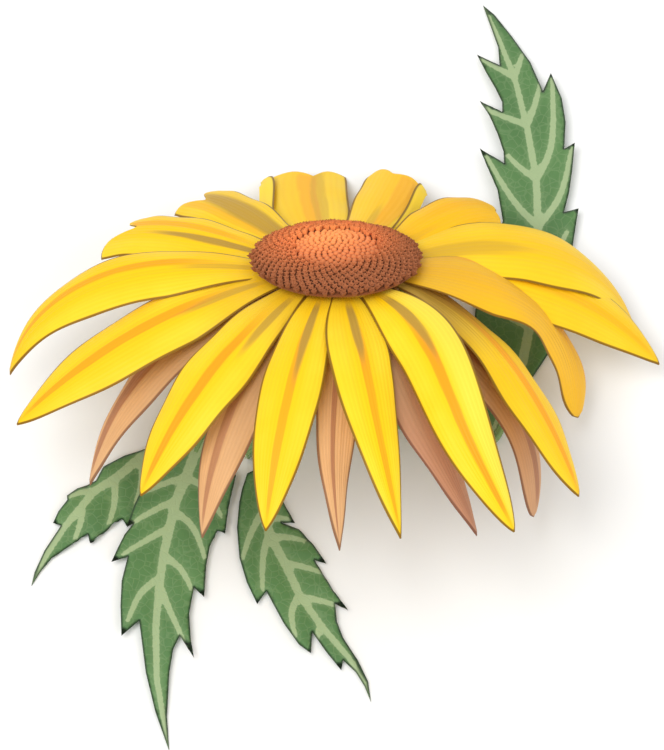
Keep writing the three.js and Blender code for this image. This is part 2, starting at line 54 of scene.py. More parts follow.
DISC_RADIUS = 19.5
DISC_DOME = 4.4
DISC_UNDERSIDE = -0.9
GOLDEN_ANGLE = 137.508

PETAL_ROOT_RADIUS = 14
COLLAR_INNER_RADIUS = 8
COLLAR_THICKNESS = 2
YELLOW_COLLAR_TOP = -1.5
TAN_COLLAR_TOP = -4.1

CUP_TOP = -6.4
CUP_BOTTOM = -15
CUP_RADIUS = 15.5
CUP_NECK_RADIUS = 4.8
BRACTS_PER_WHORL = 13
BRACT_WHORLS = [
    {"root": 13.2, "below": 2.4, "long": 13, "wide": 6, "start": -28, "end": -62, "turn": 0},
    {"root": 10, "below": 5, "long": 11, "wide": 5.2, "start": -34, "end": -58, "turn": 0.5},
]

STEM_TOP_RADIUS = 4.4
STEM_END_RADIUS = 3.8
STEM_CURVE = [(0.9, 0.3, 30.2), (0.9, -9.7, 18.2), (-11, -10, 6.2), (-21.8, -19.4, 3.9)]

# Camera: height above the horizon in degrees, lens and distance in millimetres, and the aim
# across and down from the head.
CAMERA_HEIGHT = 66
CAMERA_LENS = 400
CAMERA_DISTANCE = 1894
CAMERA_AIM_ACROSS = -0.9
CAMERA_AIM_DOWN = 26.1


# Colours are written as sRGB hex and used as linear values.
def tint(code, alpha=1.0):
    channels = [int(code[i : i + 2], 16) / 255 for i in (0, 2, 4)]
    linear = [c / 12.92 if c <= 0.04045 else ((c + 0.055) / 1.055) ** 2.4 for c in channels]
    return (*linear, alpha)


YELLOW = tint("fccd08")
PALE_YELLOW = tint("fde038")
LEMON = tint("fde048")
GOLD = tint("eead16")
ORANGE = tint("f79a14")
STREAK_AND_PAINTED_SHADE = tint("b08a38")
PETAL_MARGIN = tint("63390d")
PEACH = tint("dca874")
PEACH_LIGHT = tint("eebd8a")
ROSY_TAN = tint("b97f6a")
TAN_STRIPE = tint("96583e")
TAN_FIBRES_AND_PAINTED_SHADE = tint("a07850")
TAN_MARGIN = tint("63382a")
FLORET_TIP = tint("ffa45c")
FLORET_SIDE = tint("ee8a50")
FLORET_RIM = tint("a8653f")
FLORET_DARK_BROWN = tint("74401f")
LEAF_GREEN = tint("5b824d")
LEAF_DARK = tint("42683c")
LEAF_EDGE = tint("2a4427")
LEAF_VEIN = tint("a0b386")
STEM_GREEN = tint("6f9654")
STEM_PALE = tint("a9be7e")
PITH = tint("dfe4bd")
HAIR_WHITE = tint("e8ecd8")
FLOOR_WHITE = tint("fcfcfc")
FLOOR_GREY = tint("ececea")


# What the points of a petal carry for its material, four values to an attribute.
PETAL_VALUES = {
    "marks": ("Stripe At", "Stripe", "Gold", "Root Painted Shade"),
    "streaks": ("Streak At", "Streak To", "Streak", "Chance"),
    "breadths": ("Stripe Width", "Streak Width", "Root Reach", "Pale Side"),
}


# Ray petals, formed as in the solids. at: compass angle of the root, 0 towards -Y and 90 towards
# +X. long, wide: the blade. rise, droop: slope at the root and at the tip. bend: how late it
# bends. sweep: sideways curve. roll: turn about its own length. marks: an orange stripe (place
# across, strength), a tan streak (place across, length, strength), painted shade at the root, and
# how golden the blade is. line, band: half widths of the stripe and the streak. reach: how far out
# the root's painted shade goes. pale: which half is paler. full: where the blade is widest. snake:
# a bend to one side and back. blunt: how round the tip is. tip: width share of a broad lobed end,
# with notch, dent, corner and slant. flap: which margin is rolled over, and how much of it.
def ray(at, long, wide, rise, droop, bend, sweep, roll, marks, line=0.18, band=0.22, reach=0.36,
        pale=0, **more):
    labels = ("Stripe At", "Stripe", "Streak At", "Streak To", "Streak", "Root Painted Shade", "Gold",
              "Stripe Width", "Streak Width", "Root Reach", "Pale Side")
    petal = dict(full=0.48, snake=0, blunt=0, tip=0, notch=0, dent=0, corner=0, slant=0, flap=0)
    petal.update(at=at, long=long, wide=wide, rise=rise, droop=droop, bend=bend, sweep=sweep)
    petal.update(roll=roll, values=dict(zip(labels, (*marks, line, band, reach, pale))), **more)
    return petal


def tan_ray(*values, **more):
    """A tan petal: a broader stripe, and painted shade over most of its length."""
    return ray(*values, **{"line": 0.32, "reach": 0.8, **more})


YELLOW_PETALS = [
    ray(-89, 72.5, 15.5, 5, -79, 1.9, 0, 22, (-0.3, 0.8, -0.05, 0.35, 0.5, 0.1, 0.1)),
    ray(-71, 69, 17, -6, -43, 1, -4, 20, (-0.1, 0.9, 0.05, 0.42, 0.6, 0.3, 0.1), blunt=0.2),
    ray(-40, 63, 16, -8, -58, 1, -6, 8, (-0.05, 1, 0.32, 0.42, 0.8, 0.4, 0.1), blunt=0.2),
    ray(-14, 65, 14, -4, -62, 1, 1, 0, (0, 0.8, 0.08, 0.52, 1, 0.1, 0.1), blunt=0.2),
    ray(9, 67, 15, -6, -58, 1, 13, 14, (0.05, 0.8, 0, 0.4, 1, 0.1, 0.1), full=0.3, snake=4),
    ray(35, 73, 15, 3, -63, 0.9, 25, -26, (0, 1, 0.08, 0.45, 1, 0, 0), full=0.3, blunt=0.4, snake=25,
        line=0.2, pale=0.7),
    ray(70, 68, 16.5, -10, -62, 0.9, -27, 17, (0.1, 0.8, 0, 0.4, 0.3, 1.5, 0.1), full=0.6, blunt=0.2,
        snake=9, reach=0.5),
    # This petal's orange stripe runs along one margin, as painted shade along that edge.
    ray(84.5, 66.5, 20, 12.5, -95, 0.95, -18, -10, (0.9, 0.6, 0.2, 0.5, 0, 0.3, 0.8), full=0.3,
        blunt=0.8, snake=-31),
    ray(98, 71.2, 18.5, -3, -53, 1.15, -8, -29, (0, 0.3, 0.4, 0.5, 0, 0.1, 0.2), full=0.55, snake=-12),
    ray(110.5, 71, 20.5, 6, -74, 1.6, -1.5, -19, (0.1, 0, -0.1, 0.55, 0.45, 0.2, 0.1), band=0.35),
    ray(127, 38, 16, 11.5, -34.5, 2.2, 3, -20, (0.5, 0.2, 0, 0.5, 0.2, 0.3, 0.6), full=0.6, tip=0.65,
        notch=0.8, dent=0.1, corner=1.5, slant=-4.5, snake=-5),
    ray(161.5, 45, 15.5, 1.5, -2.5, 1, 8, -5, (-0.3, 0.45, 0.05, 0.55, 0.4, 0.1, 0.1), full=0.7,
        tip=0.9, notch=2, dent=0.2, corner=5, slant=-6.5, flap=-0.6, line=0.3),
    ray(193.5, 46.5, 20.5, 0.5, -5, 1, -17, 3, (-0.1, 0.5, -0.32, 1.6, 0.4, 0.1, 0), full=0.55,
        tip=0.95, notch=5, dent=-0.25, corner=1.5, slant=2.5, flap=0.6, line=0.24),
    ray(219, 43.5, 14, 8, -24, 1.65, -6.5, 12.5, (0.45, 0.4, -0.1, 1.2, 0.9, 0.1, 0.2), full=0.6,
        tip=0.95, notch=7.5, dent=0.1, corner=2, slant=-4, band=0.55),
    ray(244, 48, 15, 5.5, -33, 2.1, -5.5, 16, (-0.4, 0.6, 0.1, 0.8, 1, 0.1, 0.1), full=0.55, tip=0.95,
        notch=6.5, dent=-0.2, corner=2, slant=-7),
]
TAN_PETALS = [
    tan_ray(-69, 66, 13, -8, -78, 1, -4, 10, (-0.3, 0.8, 0, 0.5, 0, 0.8, 0)),
    tan_ray(-31, 63, 12.5, -10, -80, 1, -5, 5, (-0.2, 0.7, 0, 0.5, 0, 0.8, 0), line=0.22),
    tan_ray(3, 62, 10.5, -10.5, -75, 1, 8, 17, (-0.2, 0.8, 0, 0.5, 0, 0.8, 0), full=0.35, snake=12,
        line=0.15, reach=0.6),
    tan_ray(27.5, 63.5, 16.5, -11.5, -68, 1, 27, 16, (-0.1, 0.3, 0, 0.5, 0, 1, 1), full=0.45, snake=12.5),
    tan_ray(53, 68.5, 14, -7, -99, 1, 19.5, -7, (0.1, 0.7, 0, 0.5, 0, 1, 0.4), full=0.5, blunt=0.8,
        snake=-15),
]
# The rest of the under-ring is short, with marks that are all alike.
HIDDEN_MARKS = (0, 1, 0, 0.5, 0, 0.7, 0.2)
TAN_PETALS += [
    tan_ray(at, long, wide, rise, droop, 1, 0, roll, HIDDEN_MARKS)
    for at, long, wide, rise, droop, roll in (
        (105, 40, 10, -10, -40, -4), (128, 34, 10, -8, -24, 0), (151, 29, 10, -6, -16, 0),
        (187, 29, 10, -6, -16, 0), (216, 30, 10, -6, -16, 0), (246, 34, 11, -8, -24, 6),
        (275, 40, 11, -10, -40, 10),
    )
]

# Leaves in plan, as in the solids. veins: the side veins from the midrib to the teeth.
LEAVES = {
    "upper_leaf": {
        "node": 0.45,
        "petiole": [(8, -12, 9), (22, -16.5, 4.2), (31, -19, 2.8)],
        "rib": [
            (37.1, -17, 2.2), (41.2, -6, 1.4), (44.3, 4, 0.4), (46.7, 17.2, 0.4), (47.7, 29.7, 0.9),
            (48, 37.5, 1.6), (47.7, 49.3, 2.4), (45.6, 63, 2.4), (42.8, 76.1, 1.8), (39.3, 86.1, 0.9),
            (35.6, 95.7, 0.4),
        ],
        "left": [
            (35.8, -15.5), (34, -6), (32.4, 6), (33.5, 18.8), (36.6, 29.7), (39.8, 38.5), (38.6, 46.2),
            (36.6, 51.2), (34.5, 56.8), (40.2, 53.2), (40.1, 56.2), (38.8, 60.6), (36.9, 65.5),
            (34.6, 69.4), (39.9, 66.7), (39.9, 69.3), (38.3, 73), (36.1, 77.4), (34.1, 82.1),
            (39.4, 79.3), (39.1, 84.3), (37.4, 89.9),
        ],
        "right": [
            (38.3, -16.2), (42.7, -8), (46.4, -0.8), (50.5, 6), (54.1, 19.3), (56.4, 34.8), (57.5, 41.6),
            (54.1, 40.8), (55.3, 45.6), (56.1, 51.2), (56.8, 58.3), (54.3, 56.8), (54.7, 63.7),
            (53.9, 69.9), (51.4, 76.8), (49.5, 72.1), (46.6, 79.9), (42.2, 87.3), (38.3, 93),
        ],
        "folds": (0.08, 0.1),
        "veins": [
            [(42.8, 76), (34.8, 80.9)], [(45.6, 63.2), (40.5, 65.2), (36.5, 66.8), (34.6, 69.3)],
            [(47.7, 49.2), (44, 51.8), (40.5, 55.7)], [(48, 37.4), (43.3, 42), (39.5, 48), (35.8, 55.3)],
            [(42.8, 76), (44.9, 82.2)], [(45.6, 63.2), (47.6, 68.2), (48.9, 74.2)],
            [(47.7, 49.2), (50.6, 54.5), (51.9, 61.1), (51.7, 75)],
            [(48, 37.4), (51.8, 42), (54.3, 47.4), (56, 56.7)], [(47.3, 24), (42, 28), (38.6, 34)],
            [(47.3, 24), (51.6, 29), (54.8, 36)], [(46, 12), (40, 15), (35.5, 21)],
            [(46, 12), (50, 16), (53.6, 23)],
        ],
    },
    "left_leaf": {
        "node": 0.68,
        "petiole": [(-20, -6, 6), (-28, -7.5, 3.6), (-33.5, -11.5, 2.6)],
        "rib": [
            (-36.5, -15.5, 2), (-39.1, -17.5, 1.2), (-43.8, -20.6, 0.4), (-49.5, -25.8, 0.4),
            (-54.6, -29.2, 0.4), (-57.7, -33.6, 1), (-61.4, -38.5, 1), (-65.4, -45.2, 0.7),
            (-68.8, -52.8, 0.4),
        ],
        "left": [
            (-36, -17), (-37.5, -19), (-40.7, -25.3), (-43.5, -30), (-45.5, -35.5), (-47.1, -38.5),
            (-48.3, -36.2), (-51.2, -38.8), (-55.4, -42.7), (-56, -40.1), (-59.7, -42.9), (-64.2, -46),
            (-66.7, -49.2),
        ],
        "right": [
            (-37.5, -14.8), (-43, -18.6), (-47.8, -20.3), (-52.6, -23.1), (-54.3, -26.5), (-56.3, -27.7),
            (-58.5, -28.6), (-60.9, -30.6), (-60.8, -31.7), (-62.8, -34.5), (-64, -37.4), (-62.2, -38),
            (-65.9, -44.1), (-68.1, -49.4),
        ],
        "folds": (0, 0.12),
        "veins": [
            [(-43.8, -20.6), (-43.6, -27), (-45.2, -32.5)], [(-50, -26.2), (-49.8, -32), (-51.2, -37.9)],
            [(-54.6, -29.2), (-57, -29.4), (-60.5, -31)], [(-57.5, -33.4), (-57.5, -37), (-59, -41.6)],
        ],
    },
    "middle_leaf": {
        "node": 0.8,
        "petiole": [(-21, -10.5, 5), (-26.5, -11, 3.2)],
        "rib": [
            (-29.7, -15.6, 2.2), (-31.4, -20, 1.6), (-33.6, -26, 0.8), (-36, -32.3, 0.5),
            (-38.5, -44.6, 0.4), (-39.6, -54, 0.7), (-40.2, -63.3, 1.2), (-39.9, -75.7, 1.2),
            (-37.9, -88.1, 0.6), (-36.9, -93.3, 0.4),
        ],
        "left": [
            (-28.5, -16.3), (-26.3, -21), (-22.5, -24.6), (-22.1, -26.2), (-23.7, -33.6), (-24.5, -40.5),
            (-26.2, -39.5), (-28, -43.5), (-28.8, -48.4), (-29.2, -56.2), (-31.5, -53.5), (-32.6, -60.2),
            (-32.2, -66.4), (-31.4, -71.3), (-34.7, -65.5), (-36.2, -68.9), (-37, -74.4),
            (-37.5, -84.9),
        ],
        "right": [
            (-30.8, -15), (-33, -16.5), (-37.5, -20), (-41.6, -25.5), (-43.3, -28.3), (-45.3, -32.9),
            (-47.1, -38.7), (-45.5, -37.6), (-47.5, -40.4), (-48.9, -43.5), (-50.5, -47.5),
            (-46.8, -46), (-48.1, -52.1), (-48.3, -58.3), (-48, -65.8), (-44, -61.8), (-42.4, -74.4),
            (-40.2, -83.7),
        ],
        "folds": (0.1, 0.15),
        "veins": [
            [(-36, -31.7), (-40.5, -34), (-46, -37.9)], [(-37.1, -38.2), (-41.5, -41), (-48, -45.6)],
            [(-39.4, -50.9), (-43.9, -54.6), (-46.6, -62)],
            [(-36.2, -34.2), (-31.4, -38.4), (-28.9, -47)],
            [(-38.2, -45.4), (-34.1, -49.1), (-31.9, -54.6)],
            [(-39.3, -53.3), (-36.9, -59.6), (-33.6, -67.5)], [(-33.6, -26), (-29, -28.5), (-25.4, -36)],
            [(-33.6, -26), (-38.6, -27.6), (-43, -30)],
        ],
    },
    "right_leaf": {
        "node": 0.88,
        "petiole": [(-15.4, -20.5, 4)],
        "rib": [
            (-15.3, -24, 2.4), (-16, -31.2, 1.2), (-14.7, -38.5, 0.5), (-13.9, -41, 0.4),
            (-10.7, -47.5, 0.4), (-7.4, -55.3, 0.8), (-2.5, -63, 1.2), (4, -71, 1), (7.6, -76.8, 0.6),
            (8.9, -81.4, 0.4),
        ],
        "left": [
            (-14.4, -23.8), (-13.2, -26), (-12.2, -30.2), (-10.5, -33.6), (-8.5, -37.3), (-11.6, -37.2),
            (-7.6, -38.8), (-4.2, -42.9), (-1.3, -47.5), (-4, -46.6), (0.3, -54.3), (3.7, -59.3),
            (0.7, -57.6), (1.1, -61.8), (2.5, -65.8), (5.9, -71.3), (8.2, -76.3),
        ],
        "right": [
            (-16.3, -23.8), (-19.5, -25.5), (-20.7, -29.2), (-21.3, -32.3), (-21.8, -38.5), (-21.2, -46),
            (-19.5, -52.1), (-17.1, -57.6), (-15, -54.3), (-11, -62.4), (-7.6, -67.6), (-4.8, -69.8),
            (-4.5, -64.5), (-1.4, -69.2), (2.1, -73.8), (2.5, -71.3), (5.4, -74.1), (7.4, -77.5),
        ],
        "folds": (0.12, 0.08),
        "veins": [
            [(-15, -36.8), (-12.4, -36), (-9, -37)], [(-14.1, -40.7), (-10, -40.8), (-5.9, -42.1)],
            [(-10.9, -47.1), (-6.5, -48.2), (-2.3, -50)], [(-7.1, -55.8), (-3.2, -56.6), (1.6, -58.4)],
            [(-15.6, -34), (-18.6, -39.5), (-20.6, -46.6)], [(-14.4, -39.5), (-16, -46), (-15.9, -54.1)],
            [(-7.5, -55.2), (-9.6, -59.6), (-8.4, -65.8)], [(-2.5, -63), (-3.6, -66), (-3.4, -67.6)],
        ],
    },
}


# Frames and plain meshes.
def head_matrix():
    turn = Matrix.Rotation(math.radians(HEAD_TILT - 90), 4, "X")
    return Matrix.Translation(HEAD_CENTRE * MM) @ turn


def build_mesh(name, points, faces, matrix=None):
    """A mesh from points in millimetres, set into place by a matrix in metres."""
    mesh = bpy.data.meshes.new(name)
    mesh.from_pydata((np.asarray(points) * MM).tolist(), [], faces)
    if matrix is not None:
        mesh.transform(matrix)
    mesh.polygons.foreach_set("use_smooth", [True] * len(mesh.polygons))
    mesh.update()
    return mesh


def build_object(name, mesh, *materials):
    thing = bpy.data.objects.new(name, mesh)
    bpy.context.scene.collection.objects.link(thing)
    for material in materials:
        mesh.materials.append(material)
    return thing


def set_attribute(mesh, name, values):
    """One number for each vertex, or four."""
    values = np.asarray(values, np.float32)
    kind, field = ("FLOAT", "value") if values.ndim == 1 else ("FLOAT_COLOR", "color")
    mesh.attributes.new(name, kind, "POINT").data.foreach_set(field, values.ravel())


def set_uv(mesh, places):
    """One UV place for each vertex."""
    layer = mesh.uv_layers.new(name="UVMap")
    corner_vertex = np.zeros(len(mesh.loops), np.int32)
    mesh.loops.foreach_get("vertex_index", corner_vertex)
    layer.data.foreach_set("uv", np.asarray(places, np.float32)[corner_vertex].ravel())


def join(name, pieces):
    """Several objects made one, with their materials kept."""
    for piece in bpy.context.selected_objects:
        piece.select_set(False)
    for piece in pieces:
        piece.select_set(True)
    bpy.context.view_layer.objects.active = pieces[0]
    bpy.ops.object.join()
    pieces[0].name = name
    pieces[0].data.name = name
    return pieces[0]


def lathe(outline, sides, ribs=0, rib_depth=0.0):
    """Points and faces of a closed turned shape. The outline runs from axis to axis, in millimetres."""
    points = []
    rings = []
    for radius, height in outline:
        ring = []
        count = 1 if radius == 0 else sides
        for k in range(count):
            angle = TURN * k / sides
            swell = 1 + rib_depth * math.cos(ribs * angle)
            ring.append(len(points))
            points.append((radius * swell * math.cos(angle), radius * swell * math.sin(angle), height))
        rings.append(ring)
    faces = []
    for low, high in zip(rings, rings[1:]):
        for k in range(sides):
            quad = [low[k % len(low)], low[(k + 1) % len(low)]]
            quad += [high[(k + 1) % len(high)], high[k % len(high)]]
            faces.append(list(dict.fromkeys(quad)))
    return points, faces


# Petals.
def petal_half_width(petal, t):
    claw = 0.42
    tip_width = 0.03
    swell = claw + (1 - claw) * np.sin(np.pi / 2 * np.minimum(1, t / petal["full"]))
    x = np.clip((t - petal["full"]) / (1 - petal["full"]), 0, 1)
    if petal["tip"]:
        taper = np.sqrt(1 - (1 - petal["tip"] ** 2) * x**4)
    else:
        taper = (1 - x ** (1.7 + petal["blunt"])) ** (0.85 - 0.4 * petal["blunt"])
    return petal["wide"] / 2 * swell * np.maximum(tip_width, taper)


def petal_cut(petal, v):
    """How far the end of a petal falls back at place v across it, as a share of its length."""
    dent = petal["dent"]
    out = np.abs(v - dent) / np.where(v < dent, 1 + dent, 1 - dent)
    lobes = petal["notch"] * (1 - np.sin(np.pi * out))
    lobes = np.where(out < 0.5, lobes, petal["corner"] * (2 * out - 1) ** 2)
    return (lobes + (abs(petal["slant"]) + petal["slant"] * v) / 2) / petal["long"]


def petal_line(petal, root_height, t):
    """Point, side and up of the petal's middle line at each share t of its length."""
    steps = 128
    s = np.linspace(0, 1, steps + 1)
    pitch = np.radians(petal["rise"] + (petal["droop"] - petal["rise"]) * s ** petal["bend"])
    heading = np.radians(petal["at"] + petal["sweep"] * s - petal["snake"] * np.sin(np.pi * s) ** 2)
    flat = np.cos(pitch)
    ahead = np.stack([np.sin(heading) * flat, -np.cos(heading) * flat, np.sin(pitch)], axis=1)
    level = np.stack([np.cos(heading), np.sin(heading), 0 * s], axis=1)
    turn = (np.radians(petal["roll"]) * np.minimum(1, 0.3 + 2 * s))[:, None]
    side = level * np.cos(turn) - np.cross(ahead, level) * np.sin(turn)
    up = np.cross(ahead, side)
    at = math.radians(petal["at"])
    start = np.array([math.sin(at) * PETAL_ROOT_RADIUS, -math.cos(at) * PETAL_ROOT_RADIUS, root_height])
    moves = ahead[:-1] * petal["long"] / steps
    point = start + np.vstack([np.zeros(3), np.cumsum(moves, axis=0)])

    def sample(values):
        return np.stack([np.interp(t, s, values[:, k]) for k in range(3)], axis=-1)

    return sample(point), sample(side), sample(up)


def rolled_margin(petal, along, across, half):
    """The margin's extra width, wound round a small radius and back over the blade: how far aside
    each point comes, how far it is raised and turned, and the share of extra width."""
    roll_radius = 0.45
    roll_angle = math.radians(170)
    flat = 1e-6
    ease = along**0.8 * np.sqrt(1 - along**5)
    extra = np.where(np.sign(across) * petal["flap"] > 0, abs(petal["flap"]) * ease, 0)
    reach = np.abs(across) * (1 + extra) * half
    radius = np.where(extra > 0, roll_radius * np.minimum(1, 3 * ease) + flat, flat)
    bend_start = np.where(extra > 0, half - radius, 2 * half)
    beyond = np.maximum(reach - bend_start, 0)
    angle = np.minimum(beyond / radius, roll_angle)
    rest = np.maximum(beyond - radius * roll_angle, 0)
    wound = bend_start + radius * np.sin(angle) + rest * math.cos(roll_angle)
    raised = radius * (1 - np.cos(angle)) + rest * math.sin(roll_angle)
    return np.where(beyond > 0, wound, reach), raised, angle, extra


def petal_blade(petal, root_height, seed):
    """Points, faces, UV places, under-side shares and distances from the edge of one petal: a thin
    closed blade with two furrows and a middle channel, and a margin that waves or is rolled over."""
    rows, columns = 60, 26
    camber = 0.22
    thickness = 0.5
    furrow_at, furrow_width, furrow_depth = 0.36, 0.1, 0.2
    channel_width, channel_depth = 0.12, 0.25
    draw = np.random.default_rng(seed)
    wave_count = draw.uniform(2.2, 3.4)
    wave_phase = draw.uniform(0, TURN, 2)
    wave_height = draw.uniform(0.25, 0.5)
    i, j = np.meshgrid(np.arange(rows + 1), np.arange(columns + 1), indexing="ij")
    along = i / rows
    across = np.sin(np.pi / 2 * (2 * j / columns - 1))
    half = petal_half_width(petal, along)
    aside, raised, angle, extra = rolled_margin(petal, along, across, half)
    sign = np.sign(across)
    v = sign * aside / half

    cut = petal_cut(petal, v) * along**6
    point, side, up = petal_line(petal, root_height, along * (1 - cut))
    lift = raised - camber * np.minimum(1, 3 * along) * half * v**2
    ends = np.sin(np.pi * np.clip(along * 1.05, 0, 1)) ** 0.5
    furrow = furrow_depth * np.exp(-(((np.abs(v) - furrow_at) / furrow_width) ** 2))
    channel = channel_depth * np.exp(-((v / channel_width) ** 2))
    lift -= (furrow + channel) * ends * (raised == 0)
    phase = np.where(v > 0, wave_phase[0], wave_phase[1])
    lift += wave_height * np.sin(TURN * wave_count * along + phase) * np.abs(v) ** 3 * ends
    middle = point + side * (sign * aside)[..., None] + up * lift[..., None]
    facing = up * np.cos(angle)[..., None] - side * (sign * np.sin(angle))[..., None]
    rim = (np.abs(2 * j / columns - 1) == 1) | (i == rows) | (i == 0)
    body = np.sqrt(np.clip(1 - across**2, 0, 1)) * np.where(rim, 0, 1)
    offset = facing * (thickness / 2 * np.clip(body * 1.6, 0, 1))[..., None]
    top = (middle + offset).reshape(-1, 3)
    below = (middle - offset).reshape(-1, 3)
    uv = np.stack([(across + 1) / 2, along], axis=-1).reshape(-1, 2)
    count = len(top)
    shared = rim.ravel()
    below_index = np.where(shared, np.arange(count), count + np.cumsum(~shared) - 1)
    points = np.vstack([top, below[~shared]])
    places = np.vstack([uv, uv[~shared]])
    under = np.concatenate([np.zeros(count), np.ones(len(points) - count)])
    edge = np.minimum((1 + extra) * half * (1 - np.abs(across)), petal["long"] * (1 - along)).ravel()
    edge = np.concatenate([edge, edge[~shared]])
    faces = []
    for a in range(rows):
        for b in range(columns):
            k = a * (columns + 1) + b
            quad = [k, k + columns + 1, k + columns + 2, k + 1]
            faces.append(quad)
            faces.append([int(below_index[q]) for q in reversed(quad)])
    return points, faces, places, under, edge


def collar_ring(top):
    """The ring that the claws of one colour grow from, hidden under the disc, given as a blade is."""
    bevel = 0.5
    low = top - COLLAR_THICKNESS
    inner, outer = COLLAR_INNER_RADIUS, PETAL_ROOT_RADIUS + 0.8
    outline = [(inner, low), (outer - bevel, low), (outer, low + bevel), (outer, top - bevel)]
    outline += [(outer - bevel, top), (inner, top), (inner, low)]
    sides = 72
    points, faces = lathe(outline, sides)
    last = sides * (len(outline) - 1)
    faces = [[q % last for q in face] for face in faces]
    return points[:last], faces, [(0.5, 0)] * last, [0] * last, [1] * last


def petal_ring(name, table, collar_top, material):
    """All the petals of one colour, on their collar, as one piece."""
    shapes, values = [], []
    for number, petal in enumerate(table):
        shapes.append(petal_blade(petal, collar_top - COLLAR_THICKNESS / 2, number + 7))
        chance = np.random.default_rng(number + 40).uniform(0, 1)
        values.append({**petal["values"], "Chance": chance})
    shapes.append(collar_ring(collar_top))
    # The collar is darkened all over with the root's painted shade, which shows in the gaps between the
    # claws.
    values.append({"Root Painted Shade": 1, "Gold": 0.5, "Chance": 0.5, "Root Reach": 0.4,
                   "Stripe Width": 0.2, "Streak Width": 0.2})
    points, faces, places, unders, edges = zip(*shapes)
    counts = [len(own) for own in points]
    starts = np.cumsum([0, *counts]).tolist()
    faces = [[q + first for q in face] for own, first in zip(faces, starts) for face in own]
    mesh = build_mesh(name, np.vstack(points), faces, head_matrix())
    mesh.set_sharp_from_angle(angle=math.radians(65))
    set_uv(mesh, np.vstack(places))
    set_attribute(mesh, "under", np.concatenate(unders))
    set_attribute(mesh, "from_edge", np.concatenate(edges))
    for attribute, labels in PETAL_VALUES.items():
        rows = [[own.get(label, 0) for label in labels] for own in values]
        set_attribute(mesh, attribute, np.repeat(rows, counts, axis=0))
    return build_object(name, mesh, material)


# Leaves.
def near_polyline(points, line):
    """Distance of each plan point from a polyline, the share of its length there, and its third value."""
    line = np.asarray(line, float)
    run = np.concatenate([[0], np.cumsum(np.hypot(*np.diff(line[:, :2], axis=0).T))])
    best = np.full(len(points), np.inf)
    share = np.zeros(len(points))
    height = np.zeros(len(points))
    for a, b, start, end in zip(line, line[1:], run, run[1:]):
        step = b[:2] - a[:2]
        t = np.clip(((points - a[:2]) @ step) / (step @ step), 0, 1)
        distance = np.hypot(*(points - a[:2] - t[:, None] * step).T)
        closer = distance < best
        best = np.where(closer, distance, best)
        share = np.where(closer, (start + t * (end - start)) / run[-1], share)
        if len(a) > 2:
            height = np.where(closer, a[2] + t * (b[2] - a[2]), height)
    return best, share, height


def inside(points, outline):
    """Whether each plan point lies inside a closed outline."""
    x, y = points[:, 0], points[:, 1]
    hit = np.zeros(len(points), bool)
    for (ax, ay), (bx, by) in zip(outline, np.roll(outline, -1, axis=0)):
        crosses = (ay > y) != (by > y)
        with np.errstate(divide="ignore", invalid="ignore"):
            hit ^= crosses & (x < (bx - ax) * (y - ay) / (by - ay) + ax)
    return hit


def resample(line, spacing):
    """Points along a plan polyline, evenly spaced, corners kept."""
    made = [np.asarray(line[0][:2], float)]
    for a, b in zip(line, line[1:]):
        a, b = np.asarray(a[:2], float), np.asarray(b[:2], float)
        steps = max(1, round(np.hypot(*(b - a)) / spacing))
        made += [a + (b - a) * k / steps for k in range(1, steps + 1)]
    return made


def smooth_line(line, rounds=2):
    """A polyline with its inner corners cut, ends kept."""
    line = [np.asarray(p[:2], float) for p in line]
    for _ in range(rounds):
        inner = [q for a, b in zip(line, line[1:]) for q in (a * 0.75 + b * 0.25, a * 0.25 + b * 0.75)]
        line = [line[0], *inner[1:-1], line[-1]]
    return line


def leaf_plan(outline, lines, spacing):
    """A flat mesh inside a closed outline, with edges along the lines: its points, its faces, all
    turned up, and which points are on the rim."""
    row_share = 0.866
    least_apart = 0.6
    flat = np.array(outline)
    coords = list(outline)
    edges = [(k, (k + 1) % len(outline)) for k in range(len(outline))]
    for line in lines:
        chain = [p for p in resample(line, spacing)[1:-1] if inside(p[None], flat)[0]]
        edges += [(len(coords) + k, len(coords) + k + 1) for k in range(len(chain) - 1)]
        coords += chain
    low, high = flat.min(0), flat.max(0)
    columns = np.arange(low[0], high[0], spacing)
    rows = np.arange(low[1], high[1], spacing * row_share)
    grid = np.array([(x + (k % 2) * spacing / 2, y) for k, y in enumerate(rows) for x in columns])
    grid = grid[inside(grid, flat)]
    fixed = np.array(coords)
    apart = np.array([np.min(np.hypot(*(fixed - p).T)) for p in grid]) > least_apart * spacing
    coords += list(grid[apart])
    made = delaunay_2d_cdt([Vector(p) for p in coords], edges, [], 0, 1e-5)
    plan = np.array([tuple(p) for p in made[0]])
    faces = np.array([list(f) for f in made[2]])
    faces = faces[inside(plan[faces].mean(axis=1), flat)]
    a, b, c = (plan[faces[:, k]] for k in range(3))
    turned = (b[:, 0] - a[:, 0]) * (c[:, 1] - a[:, 1]) - (b[:, 1] - a[:, 1]) * (c[:, 0] - a[:, 0]) < 0
    faces[turned] = faces[turned][:, ::-1]

    used = np.unique(faces)
    renumber = np.full(len(plan), -1)
    renumber[used] = np.arange(len(used))
    plan, faces = plan[used], renumber[faces]
    pairs = np.sort(np.vstack([faces[:, [0, 1]], faces[:, [1, 2]], faces[:, [2, 0]]]), axis=1)
    unique, uses = np.unique(pairs, axis=0, return_counts=True)
    rim = np.zeros(len(plan), bool)
    rim[unique[uses == 1].ravel()] = True
    return plan, faces, rim


